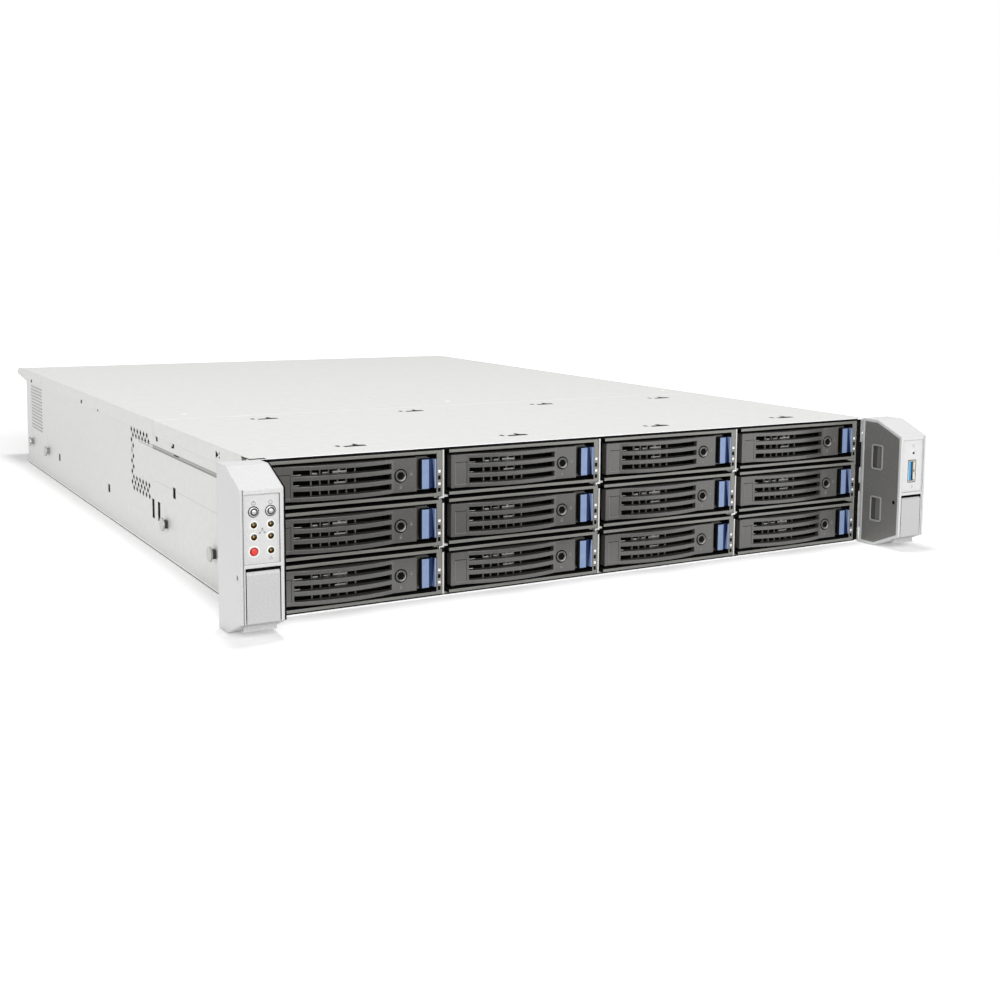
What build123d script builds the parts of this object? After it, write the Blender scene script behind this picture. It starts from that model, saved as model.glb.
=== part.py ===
from build123d import *
import math
import os

# Two-unit rack server with front drive carriers, in millimetres.
# X runs to the right seen from the front, Y runs to the rear, Z runs up.
# The pieces are drawn with y = 0 at the mouth of the drive cage and moved to the middle when saved.

# Drive bays
COLUMNS = 4
ROWS = 3
SIDE_PLAY = 0.4
SEAT_PLAY = 0.3
HEAD_PLAY = 0.9

# Sheet metal
FLOOR = 1.2
WALL = 1.2
COVER = 1.0
DIVIDER = 1.0
RUNNER = 1.2
RUNNER_WIDTH = 4.0
RUNNER_SETBACK = 3.0
WALL_GAP = 2.9
FLANGE = 1.2

# Lengths from front to rear
CHASSIS_DEPTH = 650.0
EAR_REACH = 40.0
HOOD_REACH = 38.0
SEAM_BEHIND_CAGE = 26.0
SEAM_GAP = 0.5

# Drive and the carrier frame round it
DRIVE_WIDTH = 101.6
DRIVE_LENGTH = 147.0
DRIVE_HEIGHT = 26.1
DRIVE_GAP = 2.0
DRIVE_MARGIN = 0.25
RAIL_WALL = 2.15
BEZEL_DEPTH = 12.0
BEZEL_POCKET = 10.0
BEZEL_RIM = 0.9
BEZEL_NOTCH = 2.9
BEZEL_STRIP = 1.8
BEZEL_POST = 3.4
RAIL_HEIGHT = 20.0
RAIL_TAIL = 6.0
LIGHT_PIPE = 1.5
LIGHT_PIPE_PROUD = 0.3
LIGHT_PIPE_HEIGHTS = (1.1, -6.2)

# Lever with the bowed louvre, and its pivot
LEVER_HEIGHT = 19.5
LEVER_FACE = 1.0
LEVER_THICKNESS = 3.0
LEVER_END_GAP = 3.8
BOW_RISE = 4.5
BOW_MARGIN = 1.5
BOW_FACETS = 10
SLOT_START = 11.6
SLOT_END = 15.8
SLOT_HEIGHT = 3.3
SLOT_PITCH = 5.8
SLOT_COUNT = 3
PIVOT_INSET = 2.5
PIVOT_DEPTH = 2.6
PIVOT_RADIUS = 1.2
PIVOT_PLAY = 0.06
KNUCKLE_WALL = 1.2
PIVOT_SIDES = 12

# Sliding latch on the lever's free end
LATCH_RECESS = 12.2
LATCH_HEIGHT = 17.0
LATCH_GAP = 1.8
LATCH_PLAY = 0.4
LATCH_SLIDE_PLAY = 0.2
LATCH_BACK = 4.4
LATCH_LEG = 1.6
LATCH_LIP = 1.6
LATCH_UNDERCUT = 2.4
LATCH_EDGE = 0.4
PAD_START = 0.9
PAD_END = 5.3
PAD_PROUD = 0.4
THUMB_GROOVE_START = 7.6
THUMB_GROOVE_END = 8.6
THUMB_GROOVE_DEPTH = 1.8
STRIP_START = 9.0
STRIP_PROUD = 0.4
TONGUE_THICKNESS = 1.8
HOOK_THICKNESS = 1.4
HOOK_LENGTH = 7.0

# Drive backplane behind the cage
CONNECTOR_DEPTH = 11.0
CONNECTOR_LENGTH = 33.0
CONNECTOR_SHIFT = 8.0
CONNECTOR_HEIGHT = 6.0
AIR_WINDOW = 40.0
BACKPLANE_MARGIN = 1.0
BOARD = 1.6

# Side walls: front vent, rear louvres, pressed groove; rail slots are place, height over the floor, length
VENT_HOLE = 5.0
VENT_PITCH = 8.2
VENT_ROW_PITCH = 3.7
VENT_BEHIND_SEAM = 17.0
VENT_LOW = 34.6
VENT_COLUMNS = 6
VENT_ROWS = 12
VENT_LOW_ROWS = 3
VENT_HIGH_ROWS = 2
LOUVRE_FROM_REAR = 72.0
LOUVRE_LENGTH = 50.0
LOUVRE_LOW = 36.0
LOUVRE_PITCH = 2.9
LOUVRE_HEIGHT = 1.5
LOUVRE_COUNT = 14
RAIL_SLOTS = (
    (155.0, 46.0, 7.0), (192.0, 28.0, 13.0), (206.0, 28.0, 13.0), (330.0, 23.0, 6.0),
    (507.0, 23.0, 6.0),
)
RAIL_SLOT_WIDTH = 6.0
GROOVE_CUT = 0.8
GROOVE_FRONT = 12.0
GROOVE_LENGTH = 193.0
GROOVE_LOW = 68.5
GROOVE_HEIGHT = 2.8

# Studs for the slide rails, as distances from the front and from the rear
STUDS_FROM_FRONT = (72.0, 174.0)
STUDS_FROM_REAR = (98.0, 26.0)
STUD_HEIGHT = 23.0
STUD_SHANK = 2.5
STUD_HEAD = 1.2
STUD_RADIUS = 2.5
STUD_HEAD_RADIUS = 4.5
STUD_SIDES = 12

# Covers
SKIRT_DROP = 10.0
SKIRT_PLAY = 0.2
HOOD_DROP = 3.4
HOOD_TIP = 2.0
HOOD_KNEES = ((20.0, 0.2), (31.0, 1.2))
TAB_SLOT_LENGTH = 11.0
TAB_SLOT_WIDTH = 2.4
TAB_SLOT_FRONT = 28.0
TAB_SLOT_BEHIND_CAGE = 4.0
TAB_SLOT_SHIFT = 10.0

# Rack ears, the brackets that carry them and the plates that close them
EAR_WIDTH = 23.0
EAR_LIFT = 0.4
EAR_RISE = 0.4
EAR_BACK = 3.0
EAR_WALL = 2.0
BEVEL_RUN = 22.7
BEVEL_RISE = 9.4
EDGE_GROOVE = 0.6
EDGE_GROOVE_INSET = 1.2
SIDE_PLATE = 1.7
BRACKET = 1.2
BRACKET_REACH = 20.0
BRACKET_TAIL = 12.0
BRACKET_LOW = 10.0
BRACKET_CLEAR = 1.4
BRACKET_PLAY = 0.1
WINDOW_EDGE = 18.0
WINDOW_HEIGHT = 16.5
WINDOW_WIDTH = 9.6
WINDOW_REAR = 13.0
WINDOW_DEPTH = 0.9
RACK_SCREW_EDGE = 8.75
RACK_SCREW_HEIGHT = 22.2
RACK_HOLE_RADIUS = 3.4

# Ear flap and its hinge
FLAP_SIDE_PLAY = 0.6
FLAP_GAP = 0.5
FLAP_PLATE = 2.0
HINGE_DEPTH = 5.6
HINGE_HEIGHT = 33.2
HINGE_PIN = 1.35
HINGE_PLAY = 0.05
HINGE_PIN_INSET = 0.5
CAM_RADIUS = 5.9
CAM_BACK = 2.4
LIP_SETBACK = 5.8
LIP_THICKNESS = 1.6
LIP_DROP = 3.2

# Control panels on the ears
PANEL_INSET = 1.0
PANEL_SIDE = 2.0
PANEL_LOW = 40.5
PANEL_TOP_MARGIN = 2.6
OUTER_CONTROL = 7.5
INNER_CONTROL = 16.4
BUTTON_DROP = 9.0
LAMP_DROPS = (15.8, 22.0)
RESET_DROP = 29.5
BUTTON_RADIUS = 2.4
RESET_RADIUS = 2.6
BUTTON_PLAY = 0.1
BUTTON_COLLAR = 0.9
BUTTON_TRAVEL = 0.8
SWITCH = 2.0
LAMP_RADIUS = 1.6
LAMP_PROUD = 0.4
CONTROL_SIDES = 16
USB_WIDTH = 6.6
USB_HEIGHT = 14.6
USB_LENGTH = 13.0
USB_WALL = 0.5
USB_TONGUE = 1.8
USB_EDGE = 11.2
USB_DROP = 21.5
PORT_LAMP_EDGE = 10.5
PORT_LAMP_RADIUS = 1.0

# Fans behind the cage
FAN_COUNT = 3
FAN_PITCH = 120.0
FAN_CLEAR = 2.6
FAN_RIM = 2.5
FAN_DEPTH = 38.0
FAN_BEHIND_SEAM = 8.0
FAN_BAR = 4.0
FAN_SIDES = 16
MOTOR_WIDTH = 24.0
ROTOR_PLAY = 1.0
ROTOR_SETBACK = 3.0
HUB_RADIUS = 16.0
HUB_SIDES = 12
AXLE_RADIUS = 2.0
BLADES = 5
BLADE = 1.6
BLADE_CHORD = 22.0
BLADE_PITCH = 40.0

# Power supplies and the board that they plug into
PSU_COUNT = 2
PSU_WIDTH = 73.5
PSU_HEIGHT = 40.0
PSU_LENGTH = 185.0
PSU_GAP = 2.0
PSU_MARGIN = 5.0
PSU_PLAY = 0.4
PSU_PROUD = 1.0
INLET_WIDTH = 24.0
INLET_HEIGHT = 16.0
INLET_DEPTH = 12.0
INLET_SHIFT = 20.0
HANDLE_REACH = 32.0
HANDLE_HEIGHT = 30.0
HANDLE_WIDTH = 8.0
HANDLE_BAR = 5.0
EXHAUST_SLOTS = 4
EXHAUST_WIDTH = 3.0
EXHAUST_PITCH = 6.0
EXHAUST_HEIGHT = 26.0
EXHAUST_DEPTH = 2.0
EXHAUST_SHIFT = 10.0
PLUG_WIDTH = 50.0
PLUG_DEPTH = 12.0
PLUG_LOW = 8.0
PLUG_HEIGHT = 10.0

# Rear panel: card slots with covers, vents
PANEL_PLAY = 0.2
CARD_SLOTS = 2
CARD_WIDTH = 120.0
CARD_HEIGHT = 13.0
CARD_PITCH = 20.0
CARD_RISE = 6.5
CARD_LAP = 4.0
REAR_VENTS = 10
REAR_VENT = 5.0
REAR_VENT_PITCH = 14.0
REAR_VENT_LOW = 46.0
REAR_VENT_TOP_MARGIN = 8.4

# Motherboard and what stands on it; ports are offset, width and height
STANDOFF = 6.0
BOARD_MARGIN = 6.0
BOARD_BEHIND_FANS = 56.0
BOARD_FROM_REAR = 9.2
SOCKET = 60.0
SOCKET_HEIGHT = 5.0
SOCKET_PLACE = 120.0
SOCKETS = 2
SINK_WIDTH = 78.0
SINK_LENGTH = 108.0
SINK_BASE = 5.0
SINK_HEIGHT = 58.0
SINK_FINS = 9
SINK_FIN = 2.0
MODULE = 5.0
MODULE_LENGTH = 140.0
MODULE_HEIGHT = 32.0
MODULE_GAP = 6.0
MODULE_PITCH = 8.0
MODULES = 2
PORTS = ((22.0, 15.0, 16.0), (44.0, 16.0, 14.0), (64.0, 16.0, 14.0), (97.0, 31.0, 12.5))
PORT_DEPTH = 16.0
PORT_PLAY = 0.3

# Sizes that follow from the ones above
carrier_width = DRIVE_WIDTH + 2 * RAIL_WALL
carrier_height = DRIVE_HEIGHT + 2 * DRIVE_MARGIN
cell_width = carrier_width + 2 * SIDE_PLAY
column_pitch = cell_width + DIVIDER
row_pitch = SEAT_PLAY + carrier_height + HEAD_PLAY + RUNNER
cage_half = (COLUMNS * column_pitch + DIVIDER) / 2
wall_inner = cage_half + WALL_GAP
half_width = wall_inner + WALL
under_cover = FLOOR + ROWS * row_pitch - RUNNER
top = under_cover + COVER
drive_front = BEZEL_DEPTH + DRIVE_GAP
drive_back = drive_front + DRIVE_LENGTH
cage_depth = drive_back + CONNECTOR_DEPTH
cover_seam = cage_depth + SEAM_BEHIND_CAGE
front_y = (EAR_REACH - CHASSIS_DEPTH - HOOD_REACH) / 2

# Places on a carrier, measured from the middle of its bay
half_carrier = carrier_width / 2
half_height = carrier_height / 2
lever_left = -half_carrier + BEZEL_RIM + LEVER_END_GAP
lever_right = half_carrier - BEZEL_POST - LATCH_RECESS
lever_back = LEVER_FACE + LEVER_THICKNESS
slot_left = lever_left + SLOT_START
slot_right = lever_right - SLOT_END
pivot_x = lever_left + PIVOT_INSET
pivot_y = LEVER_FACE + PIVOT_DEPTH
latch_left = lever_right + LATCH_GAP
latch_right = half_carrier - BEZEL_POST - LATCH_PLAY
tongue_front = LATCH_BACK + LATCH_SLIDE_PLAY
tongue_back = tongue_front + TONGUE_THICKNESS
tongue_end = latch_right - LATCH_LEG - LATCH_GAP

# Places on the covers
skirt_inner = half_width + SKIRT_PLAY
skirt_outer = skirt_inner + COVER
skirt_low = top - SKIRT_DROP

# Places on an ear, drawn for the right side
ear_inner = half_width - SIDE_PLATE
ear_outer = ear_inner + EAR_WIDTH
ear_top = top + EAR_RISE
ear_front = -EAR_REACH
bevel_end = ear_front + BEVEL_RUN
face_low = EAR_LIFT + BEVEL_RISE
face_high = ear_top - BEVEL_RISE
bracket_high = skirt_low - BRACKET_CLEAR
panel_high = face_high - PANEL_TOP_MARGIN
panel_face = ear_front + PANEL_INSET
panel_back = ear_front + EAR_WALL
flap_left = half_width + FLAP_SIDE_PLAY
flap_right = ear_outer - EAR_WALL - FLAP_SIDE_PLAY - PANEL_INSET / 2
hinge_y = ear_front + HINGE_DEPTH
collar_front = panel_back + BUTTON_PLAY
switch_front = collar_front + BUTTON_COLLAR + BUTTON_TRAVEL + BUTTON_PLAY
outer_x = ear_outer - OUTER_CONTROL
inner_x = ear_outer - INNER_CONTROL
button_z = panel_high - BUTTON_DROP
reset_z = panel_high - RESET_DROP
lamp_places = [(x, panel_high - drop) for drop in LAMP_DROPS for x in (outer_x, inner_x)]
lamp_places.append((inner_x, reset_z))

# Places inside and at the rear
fan_front = cover_seam + FAN_BEHIND_SEAM
fan_back = fan_front + FAN_DEPTH
fan_size = under_cover - FLOOR - 2 * FAN_CLEAR
fan_bore = fan_size / 2 - FAN_RIM
fan_z = (FLOOR + under_cover) / 2
psu_rear = CHASSIS_DEPTH + PSU_PROUD
psu_front = psu_rear - PSU_LENGTH
psu_low = FLOOR + SEAT_PLAY
psu_z = psu_low + PSU_HEIGHT / 2
psu_high = psu_low + PSU_HEIGHT
psu_left = wall_inner - PSU_MARGIN - PSU_COUNT * PSU_WIDTH - (PSU_COUNT - 1) * PSU_GAP
board_left = -wall_inner + BOARD_MARGIN
board_right = psu_left - BOARD_MARGIN
board_front = fan_back + BOARD_BEHIND_FANS
board_rear = CHASSIS_DEPTH - BOARD_FROM_REAR
board_z = FLOOR + STANDOFF + BOARD
panel_front = CHASSIS_DEPTH - WALL
card_left = psu_left + BOARD_MARGIN
card_low = psu_high + CARD_RISE


def block(x0, x1, y0, y1, z0, z1):
    """Box between two corners."""
    middle = Pos((x0 + x1) / 2, (y0 + y1) / 2, (z0 + z1) / 2)
    return middle * Box(abs(x1 - x0), abs(y1 - y0), abs(z1 - z0))


def side_profile(points, x0, x1):
    """Straight-sided outline in Y and Z, drawn out from x0 to x1."""
    face = Plane.YZ.offset(x0) * make_face(Polyline(*points, close=True))
    return extrude(face, amount=x1 - x0)


def rod_y(y0, y1, x, z, radius):
    """Round rod along Y."""
    return Pos(x, (y0 + y1) / 2, z) * Rot(90, 0, 0) * Cylinder(radius, y1 - y0)


def many_sided(radius, sides, length):
    """Upright prism with flat sides, centred, its corners on the radius."""
    return extrude(RegularPolygon(radius, sides), amount=length / 2, both=True)


def many_sided_hole(radius, sides, length):
    """Upright prism with flat sides, centred, that clears a round of this radius."""
    outer = radius / math.cos(math.pi / sides)
    return extrude(RegularPolygon(outer, sides), amount=length / 2, both=True)


def flipped(shape):
    """The same shape on the other side of the middle plane."""
    return mirror(shape, about=Plane.YZ)


def save(node, *shapes):
    """Write one node, moved so that the whole object is centred over its origin."""
    solids = []
    for shape in shapes:
        solids.extend((Pos(0, front_y, 0) * shape).solids())
    piece = solids[0] if len(solids) == 1 else Compound(solids)
    export_step(piece, f"parts/{node}.step")


def column_x(column):
    return (column - (COLUMNS - 1) / 2) * column_pitch


def row_z(row):
    return FLOOR + SEAT_PLAY + half_height + row * row_pitch


def fan_x(index):
    return (index - (FAN_COUNT - 1) / 2) * FAN_PITCH


def psu_x(index):
    return psu_left + PSU_WIDTH / 2 + index * (PSU_WIDTH + PSU_GAP)


def drive_carrier():
    """Bezel frame with hinge post and side rails, the drive between the rails, two light pipe ends."""
    rail_end = drive_back + RAIL_TAIL
    opening = half_height - BEZEL_STRIP
    window = LEVER_HEIGHT / 2
    frame = block(-half_carrier, half_carrier, 0, BEZEL_DEPTH, -half_height, half_height)
    frame -= block(
        -half_carrier + BEZEL_RIM, half_carrier - BEZEL_POST, -1, BEZEL_POCKET, -opening, opening
    )
    frame -= block(
        -half_carrier - 1, -half_carrier + BEZEL_NOTCH, -1, BEZEL_POCKET, -half_height - 1, half_height + 1
    )
    frame -= block(slot_left, slot_right, 0, BEZEL_DEPTH + 1, -window, window)
    for side in (-1, 1):
        frame += block(
            side * half_carrier, side * DRIVE_WIDTH / 2, BEZEL_DEPTH, rail_end,
            -RAIL_HEIGHT / 2, RAIL_HEIGHT / 2,
        )
    frame += Pos(pivot_x, pivot_y, 0) * many_sided(PIVOT_RADIUS, PIVOT_SIDES, 2 * opening)
    drive = block(
        -DRIVE_WIDTH / 2, DRIVE_WIDTH / 2, drive_front, drive_back, -DRIVE_HEIGHT / 2, DRIVE_HEIGHT / 2
    )
    pieces = [frame, drive]
    pipe_x = half_carrier - BEZEL_POST / 2
    for height in LIGHT_PIPE_HEIGHTS:
        pieces.append(
            block(
                pipe_x - LIGHT_PIPE / 2, pipe_x + LIGHT_PIPE / 2, -LIGHT_PIPE_PROUD, 0,
                height - LIGHT_PIPE / 2, height + LIGHT_PIPE / 2,
            )
        )
    return pieces


def carrier_lever():
    """Handle plate with a bowed louvre, a bored knuckle at its left end and a tongue for the latch."""
    bow_left = slot_left - BOW_MARGIN
    bow_right = slot_right + BOW_MARGIN
    half_bow = (bow_right - bow_left) / 2
    bow_radius = (half_bow ** 2 + BOW_RISE ** 2) / (2 * BOW_RISE)
    bow_half_angle = math.asin(half_bow / bow_radius)
    bore = PIVOT_RADIUS + PIVOT_PLAY
    knuckle_back = pivot_y + bore + KNUCKLE_WALL
    knuckle_right = pivot_x + bore + KNUCKLE_WALL
    points = [(lever_left, knuckle_back), (lever_left, LEVER_FACE)]
    for index in range(BOW_FACETS + 1):
        angle = bow_half_angle * (2 * index / BOW_FACETS - 1)
        drop = bow_radius * (1 - math.cos(angle))
        middle = (bow_left + bow_right) / 2
        points.append((middle + bow_radius * math.sin(angle), LEVER_FACE - BOW_RISE + drop))
    points += [
        (lever_right, LEVER_FACE),
        (lever_right, tongue_front),
        (tongue_end, tongue_front),
        (tongue_end, tongue_back),
        (lever_right - TONGUE_THICKNESS, tongue_back),
        (lever_right - TONGUE_THICKNESS, lever_back),
        (knuckle_right, lever_back),
        (knuckle_right, knuckle_back),
    ]
    outline = make_face(Polyline(*points, close=True))
    lever = extrude(Plane.XY.offset(-LEVER_HEIGHT / 2) * outline, amount=LEVER_HEIGHT)
    for index in range(SLOT_COUNT):
        height = (index - (SLOT_COUNT - 1) / 2) * SLOT_PITCH
        lever -= block(
            slot_left, slot_right, LEVER_FACE - BOW_RISE - 1, lever_back + 1,
            height - SLOT_HEIGHT / 2, height + SLOT_HEIGHT / 2,
        )
    lever -= Pos(pivot_x, pivot_y, 0) * many_sided_hole(bore, PIVOT_SIDES, LEVER_HEIGHT + 1)
    return lever


def lever_latch():
    """Thumb latch with a flat pad and a deep groove, clasped round the lever's tongue."""
    hook_front = tongue_back + LATCH_SLIDE_PLAY
    hook_back = hook_front + HOOK_THICKNESS
    outline = make_face(
        Polyline(
            (latch_left + LATCH_UNDERCUT, LATCH_BACK),
            (latch_left, LATCH_EDGE + LATCH_LIP),
            (latch_left, LATCH_EDGE),
            (latch_left + PAD_START, -PAD_PROUD),
            (latch_left + PAD_END, -PAD_PROUD),
            (latch_left + THUMB_GROOVE_START, THUMB_GROOVE_DEPTH),
            (latch_left + THUMB_GROOVE_END, THUMB_GROOVE_DEPTH),
            (latch_left + STRIP_START, -STRIP_PROUD),
            (latch_right, -STRIP_PROUD),
            (latch_right, hook_back),
            (latch_right - HOOK_LENGTH, hook_back),
            (latch_right - HOOK_LENGTH, hook_front),
            (latch_right - LATCH_LEG, hook_front),
            (latch_right - LATCH_LEG, LATCH_BACK),
            close=True,
        )
    )
    return extrude(Plane.XY.offset(-LATCH_HEIGHT / 2) * outline, amount=LATCH_HEIGHT)


def drive_cage():
    """Dividers from the floor to the cover, with a runner on each face between the rows."""
    pieces = []
    for index in range(COLUMNS + 1):
        x = (index - COLUMNS / 2) * column_pitch
        pieces.append(block(x - DIVIDER / 2, x + DIVIDER / 2, 0, cage_depth, FLOOR, under_cover))
    for column in range(COLUMNS):
        for row in range(1, ROWS):
            high = row_z(row) - half_height - SEAT_PLAY
            for side in (-1, 1):
                edge = column_x(column) + side * cell_width / 2
                pieces.append(
                    block(
                        edge, edge - side * RUNNER_WIDTH, RUNNER_SETBACK, cage_depth - RUNNER_SETBACK,
                        high - RUNNER, high,
                    )
                )
    return pieces


def backplane():
    """Drive backplane against the cage, with air windows and one connector for each drive."""
    half = cage_half - BACKPLANE_MARGIN
    low = FLOOR + BACKPLANE_MARGIN
    high = under_cover - BACKPLANE_MARGIN
    board = block(-half, half, cage_depth, cage_depth + BOARD, low, high)
    pieces = []
    for column in range(COLUMNS):
        x = column_x(column)
        board -= block(
            x, x + AIR_WINDOW, cage_depth - 1, cage_depth + BOARD + 1, row_z(0), row_z(ROWS - 1)
        )
        right = x - CONNECTOR_SHIFT
        for row in range(ROWS):
            z = row_z(row)
            pieces.append(
                block(
                    right - CONNECTOR_LENGTH, right, drive_back + SEAT_PLAY, cage_depth,
                    z - CONNECTOR_HEIGHT / 2, z + CONNECTOR_HEIGHT / 2,
                )
            )
    return [board] + pieces


def through_wall(y0, y1, z0, z1):
    """Cutter through the right side wall."""
    return block(wall_inner - 1, half_width + 1, y0, y1, z0, z1)


def vent_hole(y, z):
    """Four-sided vent hole through the right side wall, standing on a corner."""
    half = VENT_HOLE / 2
    points = [(y - half, z), (y, z - half), (y + half, z), (y, z + half)]
    return side_profile(points, wall_inner - 1, half_width + 1)


def side_wall():
    """Right side wall with its vents, rail slots and the pressed groove near the top."""
    holes = []
    for row in range(VENT_ROWS):
        is_full = row < VENT_LOW_ROWS or row >= VENT_ROWS - VENT_HIGH_ROWS
        shift = VENT_PITCH / 2 if row % 2 else 0
        for index in range(0 if is_full else VENT_COLUMNS - 1, VENT_COLUMNS):
            y = cover_seam + VENT_BEHIND_SEAM + shift + index * VENT_PITCH
            holes.append(vent_hole(y, VENT_LOW + row * VENT_ROW_PITCH))
    louvre = CHASSIS_DEPTH - LOUVRE_FROM_REAR
    for index in range(LOUVRE_COUNT):
        z = LOUVRE_LOW + index * LOUVRE_PITCH
        holes.append(through_wall(louvre, louvre + LOUVRE_LENGTH, z, z + LOUVRE_HEIGHT))
    half_slot = RAIL_SLOT_WIDTH / 2
    for y, z, length in RAIL_SLOTS:
        holes.append(through_wall(y - half_slot, y + half_slot, z - length / 2, z + length / 2))
    holes.append(
        block(
            half_width - GROOVE_CUT, half_width + 1, GROOVE_FRONT, GROOVE_FRONT + GROOVE_LENGTH,
            GROOVE_LOW, GROOVE_LOW + GROOVE_HEIGHT,
        )
    )
    return block(wall_inner, half_width, 0, CHASSIS_DEPTH, FLOOR, under_cover) - holes


def front_flange():
    """Narrow strip that closes the gap between the cage and the right wall."""
    return block(cage_half, wall_inner, 0, FLANGE, FLOOR, under_cover)


def chassis_tray():
    """Floor, side walls, front flanges and the brackets that carry the ears."""
    bracket = block(
        half_width, half_width + BRACKET, -BRACKET_REACH, BRACKET_TAIL, BRACKET_LOW, bracket_high
    )
    pieces = [block(-half_width, half_width, 0, CHASSIS_DEPTH, 0, FLOOR)]
    for piece in (side_wall(), front_flange(), bracket):
        pieces.extend([piece, flipped(piece)])
    return pieces


def rail_studs():
    """Headed studs that hang the inner slide rails, the same on both walls."""
    places = list(STUDS_FROM_FRONT) + [CHASSIS_DEPTH - reach for reach in STUDS_FROM_REAR]
    head = half_width + STUD_SHANK
    pieces = []
    for y in places:
        stud = block(
            half_width, head, y - STUD_RADIUS, y + STUD_RADIUS,
            STUD_HEIGHT - STUD_RADIUS, STUD_HEIGHT + STUD_RADIUS,
        )
        cap = Rot(0, 90, 0) * many_sided(STUD_HEAD_RADIUS, STUD_SIDES, STUD_HEAD)
        stud += Pos(head + STUD_HEAD / 2, y, STUD_HEIGHT) * cap
        pieces.extend([stud, flipped(stud)])
    return pieces


def front_cover():
    """Fixed cover over the drive cage: top sheet, two skirts and the slots of its hook tabs."""
    cover = block(-skirt_outer, skirt_outer, 0, cover_seam, under_cover, top)
    for side in (-1, 1):
        cover += block(side * skirt_inner, side * skirt_outer, 0, cover_seam, skirt_low, under_cover)
    half_length = TAB_SLOT_LENGTH / 2
    half_slot = TAB_SLOT_WIDTH / 2
    for y in (TAB_SLOT_FRONT, cage_depth + TAB_SLOT_BEHIND_CAGE):
        for column in range(COLUMNS):
            x = column_x(column) + TAB_SLOT_SHIFT
            cover -= block(
                x - half_length, x + half_length, y - half_slot, y + half_slot, under_cover - 1, top + 1
            )
    return cover


def rear_cover():
    """Sliding cover whose rear end droops as a hood beyond the rear panel."""
    start = cover_seam + SEAM_GAP
    bend = CHASSIS_DEPTH + SEAM_GAP
    tip = CHASSIS_DEPTH + HOOD_REACH
    tip_low = under_cover - HOOD_DROP
    crown = [(bend, top)] + [(CHASSIS_DEPTH + reach, top - drop) for reach, drop in HOOD_KNEES]
    crown.append((tip, top - HOOD_DROP))
    lining = [(y, z - COVER) for y, z in reversed(crown)]
    sheet = [(start, under_cover), (start, top)] + crown + lining
    skirt = [(start, skirt_low), (start, under_cover)] + lining[::-1]
    skirt += [(tip, tip_low - HOOD_TIP), (bend, skirt_low)]
    cover = side_profile(sheet, -skirt_outer, skirt_outer)
    cover += side_profile(skirt, skirt_inner, skirt_outer)
    cover += side_profile(skirt, -skirt_outer, -skirt_inner)
    return cover


def ear_outline(inset):
    """Side outline of an ear, every side moved in by the inset."""
    bevel_angle = math.atan2(BEVEL_RISE, BEVEL_RUN)
    knee = inset * math.tan((math.pi / 2 - bevel_angle) / 2)
    shoulder = bevel_end + inset * math.tan(bevel_angle / 2)
    front = ear_front + inset
    rear = -EAR_BACK - inset
    low = EAR_LIFT + inset
    high = ear_top - inset
    return [
        (front, face_low + knee), (front, face_high - knee),
        (shoulder, high), (rear, high), (rear, low), (shoulder, low),
    ]


def hinge_hole(x):
    """Cutter along the flap's hinge line through one side of an ear."""
    hole = Rot(0, 90, 0) * many_sided_hole(HINGE_PIN + HINGE_PLAY, PIVOT_SIDES, EAR_WALL + 1)
    return Pos(x, hinge_y, HINGE_HEIGHT) * hole


def ear_shell():
    """Hollow ear with an open inner side, a flap opening, a panel recess and the rack screw hole."""
    rear = -EAR_BACK
    shell = side_profile(ear_outline(0), ear_inner, ear_outer)
    shell -= side_profile(ear_outline(EAR_WALL), ear_inner - 1, ear_outer - EAR_WALL)
    shell -= block(
        half_width - BRACKET_PLAY, half_width + BRACKET, rear - EAR_WALL - 1, rear + 1,
        BRACKET_LOW - BRACKET_PLAY, bracket_high + BRACKET_PLAY,
    )
    shell -= block(
        flap_left - FLAP_GAP, flap_right + FLAP_GAP, ear_front - 1,
        ear_front + LIP_SETBACK + LIP_THICKNESS + FLAP_GAP, 0, HINGE_HEIGHT + CAM_RADIUS - FLAP_GAP,
    )
    shell -= block(
        ear_inner + PANEL_SIDE, ear_outer - PANEL_SIDE, ear_front - 1, panel_face, PANEL_LOW, panel_high
    )
    groove = ear_outer - EDGE_GROOVE_INSET
    shell -= block(
        groove - EDGE_GROOVE, groove, ear_front - 1, ear_front + EDGE_GROOVE, face_low, face_high
    )
    shell -= rod_y(
        rear - EAR_WALL - 1, rear + 1, ear_outer - RACK_SCREW_EDGE, RACK_SCREW_HEIGHT, RACK_HOLE_RADIUS
    )
    return shell - hinge_hole(ear_outer - EAR_WALL / 2)


def panel_hole(x, z, radius):
    """Cutter through the control panel for a button."""
    length = 2 * (EAR_WALL + 1)
    return Pos(x, ear_front, z) * Rot(90, 0, 0) * many_sided_hole(radius, CONTROL_SIDES, length)


def left_ear():
    """Ear with the holes of the three buttons, turned to the left side."""
    shell = ear_shell()
    for x in (outer_x, inner_x):
        shell -= panel_hole(x, button_z, BUTTON_RADIUS + BUTTON_PLAY)
    shell -= panel_hole(outer_x, reset_z, RESET_RADIUS + BUTTON_PLAY)
    return flipped(shell)


def right_ear():
    """Ear with the opening of the upright socket."""
    x = ear_outer - USB_EDGE
    z = panel_high - USB_DROP
    half_x = USB_WIDTH / 2 + BUTTON_PLAY
    half_z = USB_HEIGHT / 2 + BUTTON_PLAY
    return ear_shell() - block(
        x - half_x, x + half_x, ear_front - 1, panel_back + 1, z - half_z, z + half_z
    )


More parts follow.
